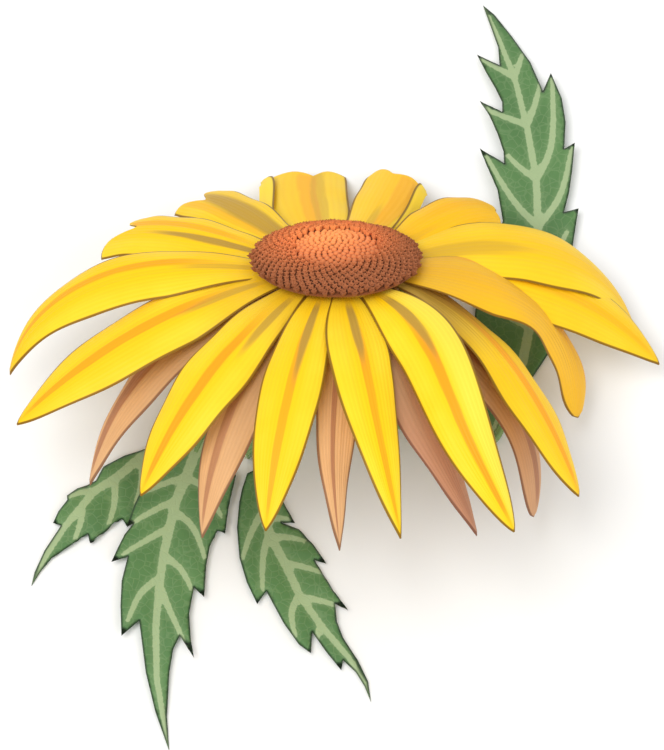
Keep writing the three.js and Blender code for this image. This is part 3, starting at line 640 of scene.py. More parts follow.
def leaf_blade(name, leaf, material):
    """A leaf's blade as one closed thin solid, folded at the midrib, with raised veins."""
    spacing = 0.95
    thickness = 0.5
    rib_root_half, rib_tip_half = 1.3, 0.5
    vein_root_half, vein_tip_half = 0.9, 0.5
    puff_height, puff_reach = 0.45, 1.6
    ridge_height, ridge_reach = 0.18, 0.5
    lowest = 0.02
    rib = leaf["rib"]
    outline = [rib[0][:2], *leaf["left"], rib[-1][:2], *reversed(leaf["right"])]
    outline = resample([*outline, outline[0]], spacing)[:-1]
    veins = [smooth_line(vein) for vein in leaf["veins"]]
    plan, faces, rim = leaf_plan(outline, [rib, *veins], spacing)

    from_rib, rib_share, rib_height = near_polyline(plan, rib)
    left_half = np.array([*leaf["left"], *[p[:2] for p in reversed(rib)]])
    fold = np.where(inside(plan, left_half), leaf["folds"][0], leaf["folds"][1])
    height = rib_height + fold * from_rib
    gap = from_rib - (rib_root_half + (rib_tip_half - rib_root_half) * rib_share)
    for vein in veins:
        from_vein, vein_share, _ = near_polyline(plan, vein)
        half = vein_root_half + (vein_tip_half - vein_root_half) * vein_share
        gap = np.minimum(gap, from_vein - half)
    from_edge = near_polyline(plan, [*outline, outline[0]])[0]
    puff = puff_height * (1 - np.exp(-np.clip(gap, 0, None) / puff_reach)) * np.clip(from_edge / 2, 0, 1)
    ridge = ridge_height * np.clip(-gap / ridge_reach, 0, 1) * np.clip(from_edge / 1.2, 0, 1)
    half = thickness / 2 * np.clip(from_edge / 0.5, 0, 1) * ~rim
    top = np.column_stack([plan, height + half + (puff + ridge) * ~rim])
    under = np.column_stack([plan, np.maximum(height - half + 0.4 * puff * ~rim, lowest)])
    under_index = np.where(rim, np.arange(len(plan)), len(plan) + np.cumsum(~rim) - 1)
    points = np.vstack([top, under[~rim]]) + np.array(PLANT_OFFSET)
    all_faces = faces.tolist() + under_index[faces[:, ::-1]].tolist()
    mesh = build_mesh(name, points, all_faces)
    set_attribute(mesh, "vein_gap", np.concatenate([gap, gap[~rim]]))
    set_attribute(mesh, "from_edge", np.concatenate([from_edge, from_edge[~rim]]))
    return build_object(name, mesh, material)


def catmull_rom(points, steps):
    """A centripetal Catmull-Rom curve through points, as steps + 1 points."""
    points = [np.asarray(p, float) for p in points]
    made = []
    for k in range(steps + 1):
        place = (len(points) - 1) * k / steps
        i = min(int(place), len(points) - 2)
        p1, p2 = points[i], points[i + 1]
        p0 = points[i - 1] if i else 2 * p1 - p2
        p3 = points[i + 2] if i + 2 < len(points) else 2 * p2 - p1
        t1 = np.linalg.norm(p1 - p0) ** 0.5
        t2 = t1 + np.linalg.norm(p2 - p1) ** 0.5
        t3 = t2 + np.linalg.norm(p3 - p2) ** 0.5
        t = t1 + (t2 - t1) * (place - i)
        a1 = (t1 - t) / t1 * p0 + t / t1 * p1
        a2 = (t2 - t) / (t2 - t1) * p1 + (t - t1) / (t2 - t1) * p2
        a3 = (t3 - t) / (t3 - t2) * p2 + (t - t2) / (t3 - t2) * p3
        b1 = (t2 - t) / t2 * a1 + t / t2 * a2
        b2 = (t3 - t) / (t3 - t1) * a2 + (t - t1) / (t3 - t1) * a3
        made.append((t2 - t) / (t2 - t1) * b1 + (t - t1) / (t2 - t1) * b2)
    return made


def bezier(corners, t):
    a, b, c, d = (np.asarray(p, float) for p in corners)
    return (1 - t) ** 3 * a + 3 * (1 - t) ** 2 * t * b + 3 * (1 - t) * t**2 * c + t**3 * d


# Node trees.
def worked_out(operation, swapped=False):
    """A method that adds the node for one sign or function of a value."""

    def method(value, *others):
        values = (*others, value) if swapped else (value, *others)
        return value.tree.math(operation, *values)

    return method


class Value:
    """One output of a node. Arithmetic on it adds the nodes that work the result out."""

    __add__ = worked_out("ADD")
    __sub__ = worked_out("SUBTRACT")
    __rsub__ = worked_out("SUBTRACT", swapped=True)
    __mul__ = worked_out("MULTIPLY")
    __truediv__ = worked_out("DIVIDE")
    __rtruediv__ = worked_out("DIVIDE", swapped=True)
    __lt__ = worked_out("LESS_THAN")
    __gt__ = worked_out("GREATER_THAN")
    __abs__ = worked_out("ABSOLUTE")
    sine = worked_out("SINE")
    cosine = worked_out("COSINE")
    square_root = worked_out("SQRT")

    def __init__(self, tree, node, label=0):
        self.tree = tree
        self.node = node
        self.label = label

    def __getitem__(self, label):
        return Value(self.tree, self.node, label)


class Tree:
    """A node tree as it is built, fed by plain values or by other nodes' outputs."""

    def __init__(self, data):
        self.data = data

    def __getitem__(self, label):
        """One of a group's own inputs."""
        return self.inputs[label]

    def add(self, kind, feeds=(), **settings):
        node = self.data.nodes.new(kind)
        for label, value in settings.items():
            setattr(node, label, value)
        for label, value in dict(feeds).items():
            self.feed(node.inputs[label], value)
        return Value(self, node)

    def feed(self, socket, value):
        if isinstance(value, Value):
            self.data.links.new(value.node.outputs[value.label], socket)
        else:
            socket.default_value = value

    def finish(self, results):
        """Feeds a group's own outputs, and gives the group."""
        self.add("NodeGroupOutput", results)
        return self.data

    def math(self, operation, *values, clamp=False):
        return self.add("ShaderNodeMath", enumerate(values), operation=operation, use_clamp=clamp)

    def step(self, value, low, high, interpolation="SMOOTHSTEP"):
        """0 at low and 1 at high, smoothly between; low may be the greater."""
        feeds = {"Value": value, "From Min": low, "From Max": high}
        return self.add("ShaderNodeMapRange", feeds, interpolation_type=interpolation)

    def mix(self, share, first, second):
        return self.add("ShaderNodeMix", {0: share, 6: first, 7: second}, data_type="RGBA")[2]

    def noise(self, place, scale, detail=2.0, roughness=0.5):
        feeds = {"Vector": place, "Scale": scale, "Detail": detail, "Roughness": roughness}
        return self.add("ShaderNodeTexNoise", feeds)["Fac"]

    def vector(self, x, y, z):
        return self.add("ShaderNodeCombineXYZ", {"X": x, "Y": y, "Z": z})

    def split(self, vector):
        return self.add("ShaderNodeSeparateXYZ", {0: vector})

    def vector_math(self, operation, first, second):
        return self.add("ShaderNodeVectorMath", {0: first, 1: second}, operation=operation)

    def scaled(self, vector, scale):
        return self.add("ShaderNodeVectorMath", {0: vector, "Scale": scale}, operation="SCALE")

    def random(self, low, high, seed):
        feeds = {2: low, 3: high, "Seed": seed}
        return self.add("FunctionNodeRandomValue", feeds, data_type="FLOAT")[1]

    def place(self):
        """Where a point of the geometry is, or of the object that a material covers."""
        if self.data.bl_idname == "GeometryNodeTree":
            return self.add("GeometryNodeInputPosition")
        return self.add("ShaderNodeTexCoord")["Object"]


def start_group(name, kind, inputs, outputs, output_kind):
    """A node group. inputs: each socket's name with its plain value, or with its kind."""
    data = bpy.data.node_groups.new(name, kind)
    for label, value in inputs.items():
        socket_kind = {int: "NodeSocketInt", float: "NodeSocketFloat"}.get(type(value), value)
        socket = data.interface.new_socket(label, in_out="INPUT", socket_type=socket_kind)
        if socket_kind != value:
            socket.default_value = value
    for label in outputs:
        data.interface.new_socket(label, in_out="OUTPUT", socket_type=output_kind)
    tree = Tree(data)
    tree.inputs = tree.add("NodeGroupInput")
    return tree


def start_geometry(name, inputs):
    sockets = {"Geometry": "NodeSocketGeometry", **inputs, "Material": "NodeSocketMaterial"}
    return start_group(name, "GeometryNodeTree", sockets, ["Geometry"], "NodeSocketGeometry")


def finish_geometry(tree, geometry):
    """Real meshes, smooth but for sharp edges, in the given material."""
    sharp_angle = math.radians(48)
    real = tree.add("GeometryNodeRealizeInstances", {"Geometry": geometry})
    angle = tree.add("GeometryNodeInputMeshEdgeAngle")["Unsigned Angle"]
    faces = tree.add("GeometryNodeSetShadeSmooth", {"Geometry": real}, domain="FACE")
    soft = {"Geometry": faces, "Shade Smooth": angle < sharp_angle}
    edges = tree.add("GeometryNodeSetShadeSmooth", soft, domain="EDGE")
    last = tree.add("GeometryNodeSetMaterial", {"Geometry": edges, "Material": tree["Material"]})
    return tree.finish({"Geometry": last})


def grow(name, base, group, material, sizes):
    """Runs a geometry group on a base mesh, in metres, and keeps the result as a plain mesh."""
    thing = build_object(name, base)
    modifier = thing.modifiers.new("Grow", "NODES")
    modifier.node_group = group
    sockets = [item for item in group.interface.items_tree if item.item_type == "SOCKET"]
    identifiers = {item.name: item.identifier for item in sockets if item.in_out == "INPUT"}
    for label, value in {**sizes, "Material": material}.items():
        modifier[identifiers[label]] = value
    view = bpy.context.evaluated_depsgraph_get()
    mesh = bpy.data.meshes.new_from_object(
        thing.evaluated_get(view), preserve_all_data_layers=True, depsgraph=view
    )
    thing.modifiers.clear()
    thing.data = mesh
    mesh.name = name
    return thing


def store(geometry, **values):
    """A geometry with a named value for each of its points."""
    for name, value in values.items():
        feeds = {"Geometry": geometry, "Name": name, "Value": value}
        geometry = geometry.tree.add("GeometryNodeStoreNamedAttribute", feeds, data_type="FLOAT")
    return geometry


def together(tree, shapes):
    joined = tree.add("GeometryNodeJoinGeometry")
    for shape in shapes:
        tree.feed(joined.node.inputs[0], shape)
    return joined


def lean(tree, direction, spin):
    """A rotation that points +Z along a direction after a spin about it."""
    turned = tree.add("FunctionNodeAlignRotationToVector", {"Vector": direction}, axis="Z")
    around = tree.add("FunctionNodeAxisAngleToRotation", {"Axis": (0, 0, 1), "Angle": spin})
    feeds = {"Rotation": turned, "Rotate By": around}
    return tree.add("FunctionNodeRotateRotation", feeds, rotation_space="LOCAL")


def cone(tree, sides, radius_top, radius_bottom, depth):
    return tree.add("GeometryNodeMeshCone", {
        "Vertices": sides, "Radius Top": radius_top, "Radius Bottom": radius_bottom, "Depth": depth,
    })


def extrude(tree, mesh, selection, distance):
    return tree.add("GeometryNodeExtrudeMesh", {
        "Mesh": mesh, "Selection": selection, "Offset Scale": distance, "Individual": False,
    })


def shrink(extruded, scale):
    """The top of an extrusion made smaller."""
    return extruded.tree.add("GeometryNodeScaleElements", {
        "Geometry": extruded["Mesh"], "Selection": extruded["Top"], "Scale": scale,
    })


def floret_shapes(tree):
    """A bud, and an open floret: a five-lobed star, sunk in the middle, round its anther column."""
    lobe_notch, lobe_droop = 0.36, 0.25
    ball = tree.add("GeometryNodeMeshUVSphere", {"Segments": 7, "Rings": 5, "Radius": 1.0})["Mesh"]
    squat = {"Geometry": ball, "Scale": (1, 1, 0.9), "Translation": (0, 0, -0.2)}
    bud = tree.add("GeometryNodeTransform", squat)

    star = cone(tree, 10, 1.0, 0.55, 1.5)
    inner = extrude(tree, star["Mesh"], star["Top"], 0.0)
    sunk = tree.add("GeometryNodeSetPosition", {
        "Geometry": shrink(inner, 0.5), "Selection": inner["Top"], "Offset": (0, 0, -0.5),
    })
    own = tree.split(tree.place())
    rim = (own[0] * own[0] + own[1] * own[1]).square_root() > 0.9
    notch = rim * tree.math("MODULO", tree.add("GeometryNodeInputIndex"), 2)
    squeeze = 1 - notch * lobe_notch
    lobe = tree.vector(own[0] * squeeze, own[1] * squeeze, own[2] - notch * lobe_droop)
    lobed = tree.add("GeometryNodeSetPosition", {"Geometry": sunk, "Position": lobe})
    column = cone(tree, 5, 0.16, 0.3, 1.3)["Mesh"]
    column = tree.add("GeometryNodeTransform", {"Geometry": column, "Translation": (0, 0, 0.1)})
    return bud, together(tree, [lobed, column])


def floret_tree():
    """Disc florets on a golden-angle spiral over the dome, leaning out a little: buds inside and
    open florets outside."""
    # The orange middle is set off the disc's centre as a painted highlight.
    painted_highlight_middle = (-0.1, 0.28, 0)
    outward_slope = 0.62
    tree = start_geometry("disc florets", {
        "Floret Count": 600, "Disc Radius": 0.019, "Dome Height": 0.0044, "Floret Radius": 0.0008,
        "Bud Share": 0.5, "Seed": 1,
    })
    index = tree.add("GeometryNodeInputIndex")
    share = ((index + 0.5) / tree["Floret Count"]).square_root()
    angle = index * math.radians(GOLDEN_ANGLE)
    outward_x = share * angle.cosine()
    outward_y = share * angle.sine()
    radius = tree["Disc Radius"]
    height = (1 - share * share) * tree["Dome Height"]
    place = tree.vector(outward_x * radius, outward_y * radius, height)
    points = tree.add("GeometryNodePoints", {"Count": tree["Floret Count"], "Position": place})
    # Each floret's distance from that painted highlight sets its colour from orange to brown.
    glow = tree.vector_math("DISTANCE", tree.vector(outward_x, outward_y, 0), painted_highlight_middle)["Value"]
    points = store(points, share=share, chance=tree.random(0.0, 1.0, tree["Seed"]), glow=glow)
    upward = tree.vector(outward_x * outward_slope, outward_y * outward_slope, 1)
    turn = lean(tree, upward, tree.random(0.0, TURN, tree["Seed"] + 1))
    chance = tree.random(0.88, 1.1, tree["Seed"] + 2)
    size = chance * tree["Floret Radius"] * (share * 0.25 + 0.75)

    bud, flower = floret_shapes(tree)
    is_bud = share < tree["Bud Share"]
    spread = []
    for shape, chosen in ((bud, is_bud), (flower, 1 - is_bud)):
        lift = tree.step(tree.split(tree.place())[2], -0.8, 0.8, "LINEAR")
        spread.append(tree.add("GeometryNodeInstanceOnPoints", {
            "Points": points, "Selection": chosen, "Instance": store(shape, lift=lift),
            "Rotation": turn, "Scale": size,
        }))
    bed = store(tree["Geometry"], glow=1.0)
    return finish_geometry(tree, together(tree, [*spread, bed]))


def bract_tree():
    """One whorl of pointed bracts: closed blades with a keel, that arch out and down."""
    keel_slope = 0.12
    tip_width = 0.05
    tree = start_geometry("bract whorl", {
        "Bract Count": 13, "Root Radius": 0.01, "Root Height": 0.0, "Length": 0.012, "Width": 0.006,
        "Root Pitch": -0.5, "Tip Pitch": -1.0, "Turn": 0.0, "Thickness": 0.0008, "Seed": 1,
    })
    grid = tree.add("GeometryNodeMeshGrid", {
        "Size X": 1.0, "Size Y": 1.0, "Vertices X": 19, "Vertices Y": 9,
    })["Mesh"]
    flat = tree.split(tree.place())
    t = flat[0] + 0.5
    v = flat[1] * 2
    grid = store(grid, along=t, across=abs(v))
    root_pitch = tree["Root Pitch"]
    change = tree["Tip Pitch"] - root_pitch
    pitch = root_pitch + change * t
    arc = tree["Length"] / change
    reach = pitch.sine() - root_pitch.sine()
    climb = root_pitch.cosine() - pitch.cosine()
    half = tree["Width"] * 0.5 * tree.math("MAXIMUM", 1 - t * t, tip_width)
    bulge = tree.math("SUBTRACT", 1, v * v, clamp=True).square_root()
    inner = abs(t - 0.5) < 0.49
    body = bulge * inner * (tree["Thickness"] * 0.5)
    sag = half * abs(v) * keel_slope
    sheets = []
    for side in (1, -1):
        lift = body * side - sag
        x = arc * reach - lift * pitch.sine()
        z = arc * climb + lift * pitch.cosine()
        shape = tree.vector(x, half * v, z)
        sheets.append(tree.add("GeometryNodeSetPosition", {"Geometry": grid, "Position": shape}))
    sheets[1] = tree.add("GeometryNodeFlipFaces", {"Mesh": sheets[1]})
    weld = {"Geometry": together(tree, sheets), "Distance": 1e-6}
    blade = tree.add("GeometryNodeMergeByDistance", weld)

    index = tree.add("GeometryNodeInputIndex")
    angle = (index + tree["Turn"]) * (TURN / tree["Bract Count"]) - TURN / 4
    radius = tree["Root Radius"]
    place = tree.vector(angle.cosine() * radius, angle.sine() * radius, tree["Root Height"])
    points = tree.add("GeometryNodePoints", {"Count": tree["Bract Count"], "Position": place})
    points = store(points, chance=tree.random(0.0, 1.0, tree["Seed"]))
    tip = tree.random(-0.07, 0.07, tree["Seed"] + 1)
    roll = tree.random(-0.15, 0.15, tree["Seed"] + 2)
    return finish_geometry(tree, tree.add("GeometryNodeInstanceOnPoints", {
        "Points": points, "Instance": blade, "Rotation": tree.vector(roll, tip, angle),
    }))


def stalk_tree():
    """A ridged tube along a path, with an end that may be sunk as a cut stem's pith is."""
    tree = start_geometry("stalk", {
        "Start Radius": 0.004, "End Radius": 0.003, "Taper": 1.0, "Sides": 32, "Rings": 96,
        "Ridges": 9.0, "Ridge Depth": 0.0001, "Pith Depth": 0.0,
    })
    curve = tree.add("GeometryNodeMeshToCurve", {"Mesh": tree["Geometry"]})
    curve = tree.add("GeometryNodeResampleCurve", {"Curve": curve, "Count": tree["Rings"]})
    along = tree.add("GeometryNodeSplineParameter")["Factor"]
    narrower = tree["End Radius"] - tree["Start Radius"]
    radius = tree["Start Radius"] + narrower * tree.math("POWER", along, tree["Taper"])
    ring = tree.add("GeometryNodeCurvePrimitiveCircle", {"Resolution": tree["Sides"], "Radius": 1.0})
    around = tree.add("GeometryNodeSplineParameter")["Factor"]
    tube = tree.add("GeometryNodeCurveToMesh", {
        "Curve": store(curve, along=along), "Profile Curve": store(ring, around=around),
        "Scale": radius, "Fill Caps": True,
    })
    around, along = (
        tree.add("GeometryNodeInputNamedAttribute", {"Name": name}, data_type="FLOAT")
        for name in ("around", "along")
    )
    wave = (around * TURN * tree["Ridges"]).cosine()
    offset = tree.scaled(tree.add("GeometryNodeInputNormal"), wave * tree["Ridge Depth"])
    tube = tree.add("GeometryNodeSetPosition", {"Geometry": tube, "Offset": offset})
    corners = tree.add("GeometryNodeInputMeshFaceNeighbors")["Vertex Count"]
    is_end_cap = (corners > 4) * (along > 0.5)
    lip = extrude(tree, tube, is_end_cap, 0.0)
    sunk = extrude(tree, shrink(lip, 0.78), lip["Top"], tree["Pith Depth"] * -1)
    pith = store(shrink(sunk, 0.9), cut=tree.math("MAXIMUM", lip["Top"], sunk["Top"]))
    return finish_geometry(tree, pith)


def hair_tree():
    """Short stiff hairs over a surface. Only the hairs come out."""
    tree = start_geometry("short hairs", {
        "Density": 100000.0, "Hair Length": 0.001, "Hair Radius": 0.00005, "Seed": 1,
    })
    spread = tree.add("GeometryNodeDistributePointsOnFaces", {
        "Mesh": tree["Geometry"], "Density": tree["Density"], "Seed": tree["Seed"],
    })
    ends = {0: (-0.5, -0.5, -0.5), 1: (0.5, 0.5, 0.5)}
    wander = tree.add("FunctionNodeRandomValue", ends, data_type="FLOAT_VECTOR")
    direction = tree.vector_math("ADD", spread["Normal"], wander)
    length = tree["Hair Length"] * tree.random(0.5, 1.2, tree["Seed"])
    size = tree.vector(tree["Hair Radius"], tree["Hair Radius"], length)
    return finish_geometry(tree, tree.add("GeometryNodeInstanceOnPoints", {
        "Points": spread["Points"], "Instance": cone(tree, 4, 0.0, 1.0, 1.0)["Mesh"],
        "Rotation": lean(tree, direction, 0.0), "Scale": size,
    }))


# Shared effects in materials: groups that give masks and heights.
def start_effect(name, inputs, outputs):
    return start_group(name, "ShaderNodeTree", inputs, outputs, "NodeSocketFloat")


def fibre_group():
    """Fine lines that run along a blade, broken a little: a tone and a height."""
    inputs = {"Across": 0.0, "Along": 0.0, "Lines": 24.0, "Chance": 0.0}
    tree = start_effect("fine fibres", inputs, ["Tone", "Height"])
    across, lines = tree["Across"], tree["Lines"]
    place = tree.vector(across * lines, tree["Along"] * 5, tree["Chance"] * 9)
    drift = tree.noise(place, 0.7) * 2.4
    wave = (across * (lines * TURN) + drift).cosine() * 0.5 + 0.5
    broken = tree.noise(place, 1.7, 3.0, 0.6)
    return tree.finish({"Tone": (wave + broken) * 0.5, "Height": wave})


def mottle_group():
    """Soft cloudy variation over a surface, with fine grain: a tone from 0 to 1 and a height."""
    inputs = {"Cloud Scale": 60.0, "Grain Scale": 900.0}
    tree = start_effect("plant mottle", inputs, ["Tone", "Height"])
    place = tree.place()
    tone = tree.step(tree.noise(place, tree["Cloud Scale"], 3.0), 0.3, 0.7, "LINEAR")
    return tree.finish({"Tone": tone, "Height": tree.noise(place, tree["Grain Scale"])})


def petal_marks_group():
    """The marks on a petal: a stripe, a streak near the root, painted shade at the root and a paler half.
    """
    tree = start_effect("petal marks", {
        "Across": 0.5, "Along": 0.0, "Stripe At": 0.0, "Stripe": 0.0, "Stripe Width": 0.18,
        "Streak At": 0.0, "Streak To": 0.5, "Streak": 0.0, "Streak Width": 0.22,
        "Root Painted Shade": 0.0, "Root Reach": 0.36, "Pale Side": 0.0, "Chance": 0.0,
    }, ["Stripe", "Streak", "Root", "Pale", "Across"])
    across, along = tree["Across"] * 2 - 1, tree["Along"]
    place = tree.vector(tree["Across"] * 9, along * 3, tree["Chance"] * 20)
    wavy = across + (tree.noise(place, 1.6, 3.0) - 0.5) * 0.12

    wide = tree["Stripe Width"]
    ends = tree.step(along, 0.1, 0.35) * tree.step(along, 0.99, 0.9)
    stripe = tree.step(abs(wavy - tree["Stripe At"]), wide, wide * 0.65) * ends * tree["Stripe"]

    cap = tree.math("MULTIPLY_ADD", along / tree["Streak To"], 1.3, -0.3, clamp=True)
    gap = (wavy - tree["Streak At"]) / tree["Streak Width"]
    away = (gap * gap + cap * cap).square_root()
    streak = tree.step(away, 1.0, 0.6) * tree.step(along, 0.02, 0.1) * tree["Streak"]

    # Painted shade at the root, fading out by the root's reach.
    root = tree.step(along, tree["Root Reach"], tree["Root Reach"] * 0.35) * tree["Root Painted Shade"]
    pale = tree.step(across * tree["Pale Side"], 0.0, 0.4)
    return tree.finish({
        "Stripe": stripe, "Streak": streak, "Root": root, "Pale": pale, "Across": across,
    })


FIBRES = fibre_group()
MOTTLE = mottle_group()
PETAL_MARKS = petal_marks_group()


# Materials.
def start_material(name, roughness, specular, sheen=0.0, sheen_roughness=0.5):
    """A material's tree with its Principled shader, whose plain values are set on its own sockets."""
    material = bpy.data.materials.new(name)
    material.use_nodes = True
    material.node_tree.nodes.clear()
    tree = Tree(material.node_tree)
    tree.material = material
    tree.surface = tree.add("ShaderNodeBsdfPrincipled", {
        "Roughness": roughness, "Specular IOR Level": specular, "Sheen Weight": sheen,
        "Sheen Roughness": sheen_roughness,
    })
    tree.add("ShaderNodeOutputMaterial", {"Surface": tree.surface})
    return tree


def finish_material(tree, base, layers, height=None, strength=0.4, depth=0.15):
    """Colours laid over a base colour, each by its share, and relief with a depth in millimetres."""
    colour = base
    for share, tone in layers:
        colour = tree.mix(share, colour, tone)
    tree.feed(tree.surface.node.inputs["Base Color"], colour)
    if height:
        feeds = {"Height": height, "Strength": strength, "Distance": depth * MM}
        tree.feed(tree.surface.node.inputs["Normal"], tree.add("ShaderNodeBump", feeds))
    return tree.material


def carried(tree, name):
    """A value that the mesh's points carry."""
    return tree.add("ShaderNodeAttribute", attribute_name=name)["Fac"]


def fibre_lines(tree, across, along, lines, chance=0.0):
    feeds = {"Across": across, "Along": along, "Lines": lines, "Chance": chance}
    return tree.add("ShaderNodeGroup", feeds, node_tree=FIBRES)


def clouds(tree, cloud_scale, grain_scale):
    feeds = {"Cloud Scale": cloud_scale, "Grain Scale": grain_scale}
    return tree.add("ShaderNodeGroup", feeds, node_tree=MOTTLE)


def petal_effects(tree, line_count, cloud_scale):
    """A petal's chance value and gold, its marks, fibre lines and clouds, its margin and relief."""
    uv = tree.split(tree.add("ShaderNodeTexCoord")["UV"])
    found = {"Across": uv[0], "Along": uv[1]}
    for name, labels in PETAL_VALUES.items():
        attribute = tree.add("ShaderNodeAttribute", attribute_name=name)
        parts = tree.add("ShaderNodeSeparateColor", {0: attribute["Color"]})
        found.update(zip(labels, (parts[0], parts[1], parts[2], attribute["Alpha"])))
    gold = found.pop("Gold")
    marks = tree.add("ShaderNodeGroup", found, node_tree=PETAL_MARKS)
    lines = fibre_lines(tree, uv[0], uv[1], line_count, found["Chance"])
    cloud = clouds(tree, cloud_scale, 1500.0)
    margin = tree.step(carried(tree, "from_edge"), 0.62, 0.3)
    height = cloud["Height"] * 0.3 + lines["Height"]
    return found["Chance"], gold, marks, lines, cloud, margin, height


def yellow_petal_material():
    tree = start_material("yellow petal", 0.5, 0.2, 0.03, 0.4)
    chance, gold, marks, lines, cloud, margin, height = petal_effects(tree, 15.0, 55.0)
    under = carried(tree, "under")
    upper = (1 - under) * 0.9
    # Paler towards both margins, in clouds: mottled tone mixed with a painted highlight.
    pale = tree.step(abs(marks["Across"]), 0.15, 0.6) * (cloud["Tone"] * 0.6 + 0.1)
    # The root's mark is painted shade, in the streak colour.
    return finish_material(tree, YELLOW, [
        (pale, PALE_YELLOW), (marks["Pale"], LEMON), (gold * 0.8, GOLD), (lines["Tone"] * 0.2, GOLD),
        (chance * 0.1, ORANGE), (marks["Stripe"] * upper, ORANGE), (marks["Root"] * 0.6, STREAK_AND_PAINTED_SHADE),
        (marks["Streak"] * upper, STREAK_AND_PAINTED_SHADE), (under * 0.4, PALE_YELLOW), (margin * 0.85, PETAL_MARGIN),
    ], height, 0.35, 0.12)


def tan_petal_material():
    tree = start_material("tan petal", 0.6, 0.2, 0.05, 0.4)
    _, rosy, marks, lines, cloud, margin, height = petal_effects(tree, 13.0, 60.0)
    # The root's mark is painted shade over most of the blade; the fibre lines are the petal's own tone.
    return finish_material(tree, PEACH, [
        (cloud["Tone"] * 0.6, PEACH_LIGHT), (rosy * 0.8, ROSY_TAN), (lines["Tone"] * 0.25, TAN_FIBRES_AND_PAINTED_SHADE),
        (marks["Root"] * 0.85, TAN_FIBRES_AND_PAINTED_SHADE), (marks["Stripe"] * 0.85, TAN_STRIPE),
        (margin * 0.75, TAN_MARGIN),
    ], height, 0.4, 0.12)


def floret_material():
    """Orange in the middle, partly a painted highlight off centre, brown to the rim, painted shade
    between florets.
    """
    tree = start_material("florets", 0.62, 0.2, 0.05)
    share, glow, lift, chance = (carried(tree, name) for name in ("share", "glow", "lift", "chance"))
    # Painted shade on the low parts of the florets and on the bed between them; the outermost rim is also
    # darker.
    painted_low_shade = tree.step(lift, 0.6, 0.0) * tree.step(glow, -0.4, 1.0)
    return finish_material(tree, FLORET_TIP, [
        (tree.step(glow, 0.05, 0.6), FLORET_SIDE), (tree.step(glow, 0.4, 1.1), FLORET_RIM),
        (chance * 0.12, FLORET_RIM), (painted_low_shade * 0.6, FLORET_DARK_BROWN),
        (tree.step(share, 0.9, 1.0) * 0.4, FLORET_DARK_BROWN),
    ], clouds(tree, 200.0, 3000.0)["Height"], 0.3, 0.1)


def leaf_material():
    """Green with pale veins, a fine net between them and a darker edge."""
    tree = start_material("leaf", 0.55, 0.25, 0.05)
    gap = carried(tree, "vein_gap")
    cloud = clouds(tree, 45.0, 1300.0)
    place = tree.place()
    wander = tree.add("ShaderNodeTexNoise", {"Vector": place, "Scale": 300.0})["Color"]
    bent = tree.vector_math("ADD", place, tree.scaled(wander, 0.001))
    cells = tree.add("ShaderNodeTexVoronoi", {"Vector": bent, "Scale": 520.0}, feature="DISTANCE_TO_EDGE")
    net = tree.step(cells["Distance"], 0.1, 0.02)
    vein = tree.step(gap + (cloud["Height"] - 0.5) * 0.5, 0.12, -0.12)
    edge = tree.step(carried(tree, "from_edge"), 0.6, 0.15)
    return finish_material(tree, LEAF_GREEN, [
        (cloud["Tone"] * 0.7, LEAF_DARK), (net * 0.12, LEAF_VEIN),
        (tree.step(gap, 1.4, 0.0) * 0.12, LEAF_VEIN), (vein * 0.9, LEAF_VEIN), (edge * 0.8, LEAF_EDGE),
    ], cloud["Height"] * 0.3 - net * 0.6)


def stem_material():
    tree = start_material("stem", 0.55, 0.35, 0.15)
    around, along, cut = (carried(tree, name) for name in ("around", "along", "cut"))
    lines = fibre_lines(tree, around, along, 26.0)
    cloud = clouds(tree, 120.0, 1600.0)
    return finish_material(tree, STEM_GREEN, [
        (lines["Tone"] * 0.6, STEM_PALE), (cloud["Tone"] * 0.35, LEAF_DARK), (cut, PITH),
    ], cloud["Height"] * 0.5 + lines["Height"])


def bract_material():
    tree = start_material("bract", 0.6, 0.3, 0.15)
    across, along, chance = (carried(tree, name) for name in ("across", "along", "chance"))
    lines = fibre_lines(tree, across, along, 6.0, chance)
    cloud = clouds(tree, 150.0, 1600.0)
    return finish_material(tree, LEAF_GREEN, [
        (cloud["Tone"] * 0.6, STEM_GREEN), (lines["Tone"] * 0.3, LEAF_VEIN),
        (tree.step(along, 0.6, 1.0) * 0.5, LEAF_DARK),
    ], cloud["Height"] * 0.5 + lines["Height"])


def plain_material(name, roughness, specular, scale, first, second):
    """Two near colours in soft clouds, with no relief."""
    tree = start_material(name, roughness, specular)
    return finish_material(tree, first, [(tree.noise(tree.place(), scale), second)])


SHORT_HAIRS = hair_tree()
STALK = stalk_tree()
STEM_FINISH = stem_material()
LEAF_FINISH = leaf_material()
HAIR_FINISH = plain_material("hair", 0.7, 0.2, 400.0, HAIR_WHITE, STEM_PALE)


# The pieces.
def path_mesh(name, points):
    """A bare path in metres from points in millimetres in the plant's frame."""
    mesh = bpy.data.meshes.new(name)
    placed = [(Vector(p) + PLANT_OFFSET) * MM for p in points]
    mesh.from_pydata(placed, [(k, k + 1) for k in range(len(placed) - 1)], [])
    return mesh


def hairs(name, surface, density, length, seed):
    """Hairs that stand on a copy of a surface. density is per square millimetre."""
    return grow(name, surface.data.copy(), SHORT_HAIRS, HAIR_FINISH, {
        "Density": density / MM**2, "Hair Length": length * MM, "Hair Radius": 0.045 * MM, "Seed": seed,
    })


def declare(piece, node):
    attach(piece, "root")
    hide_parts(node)


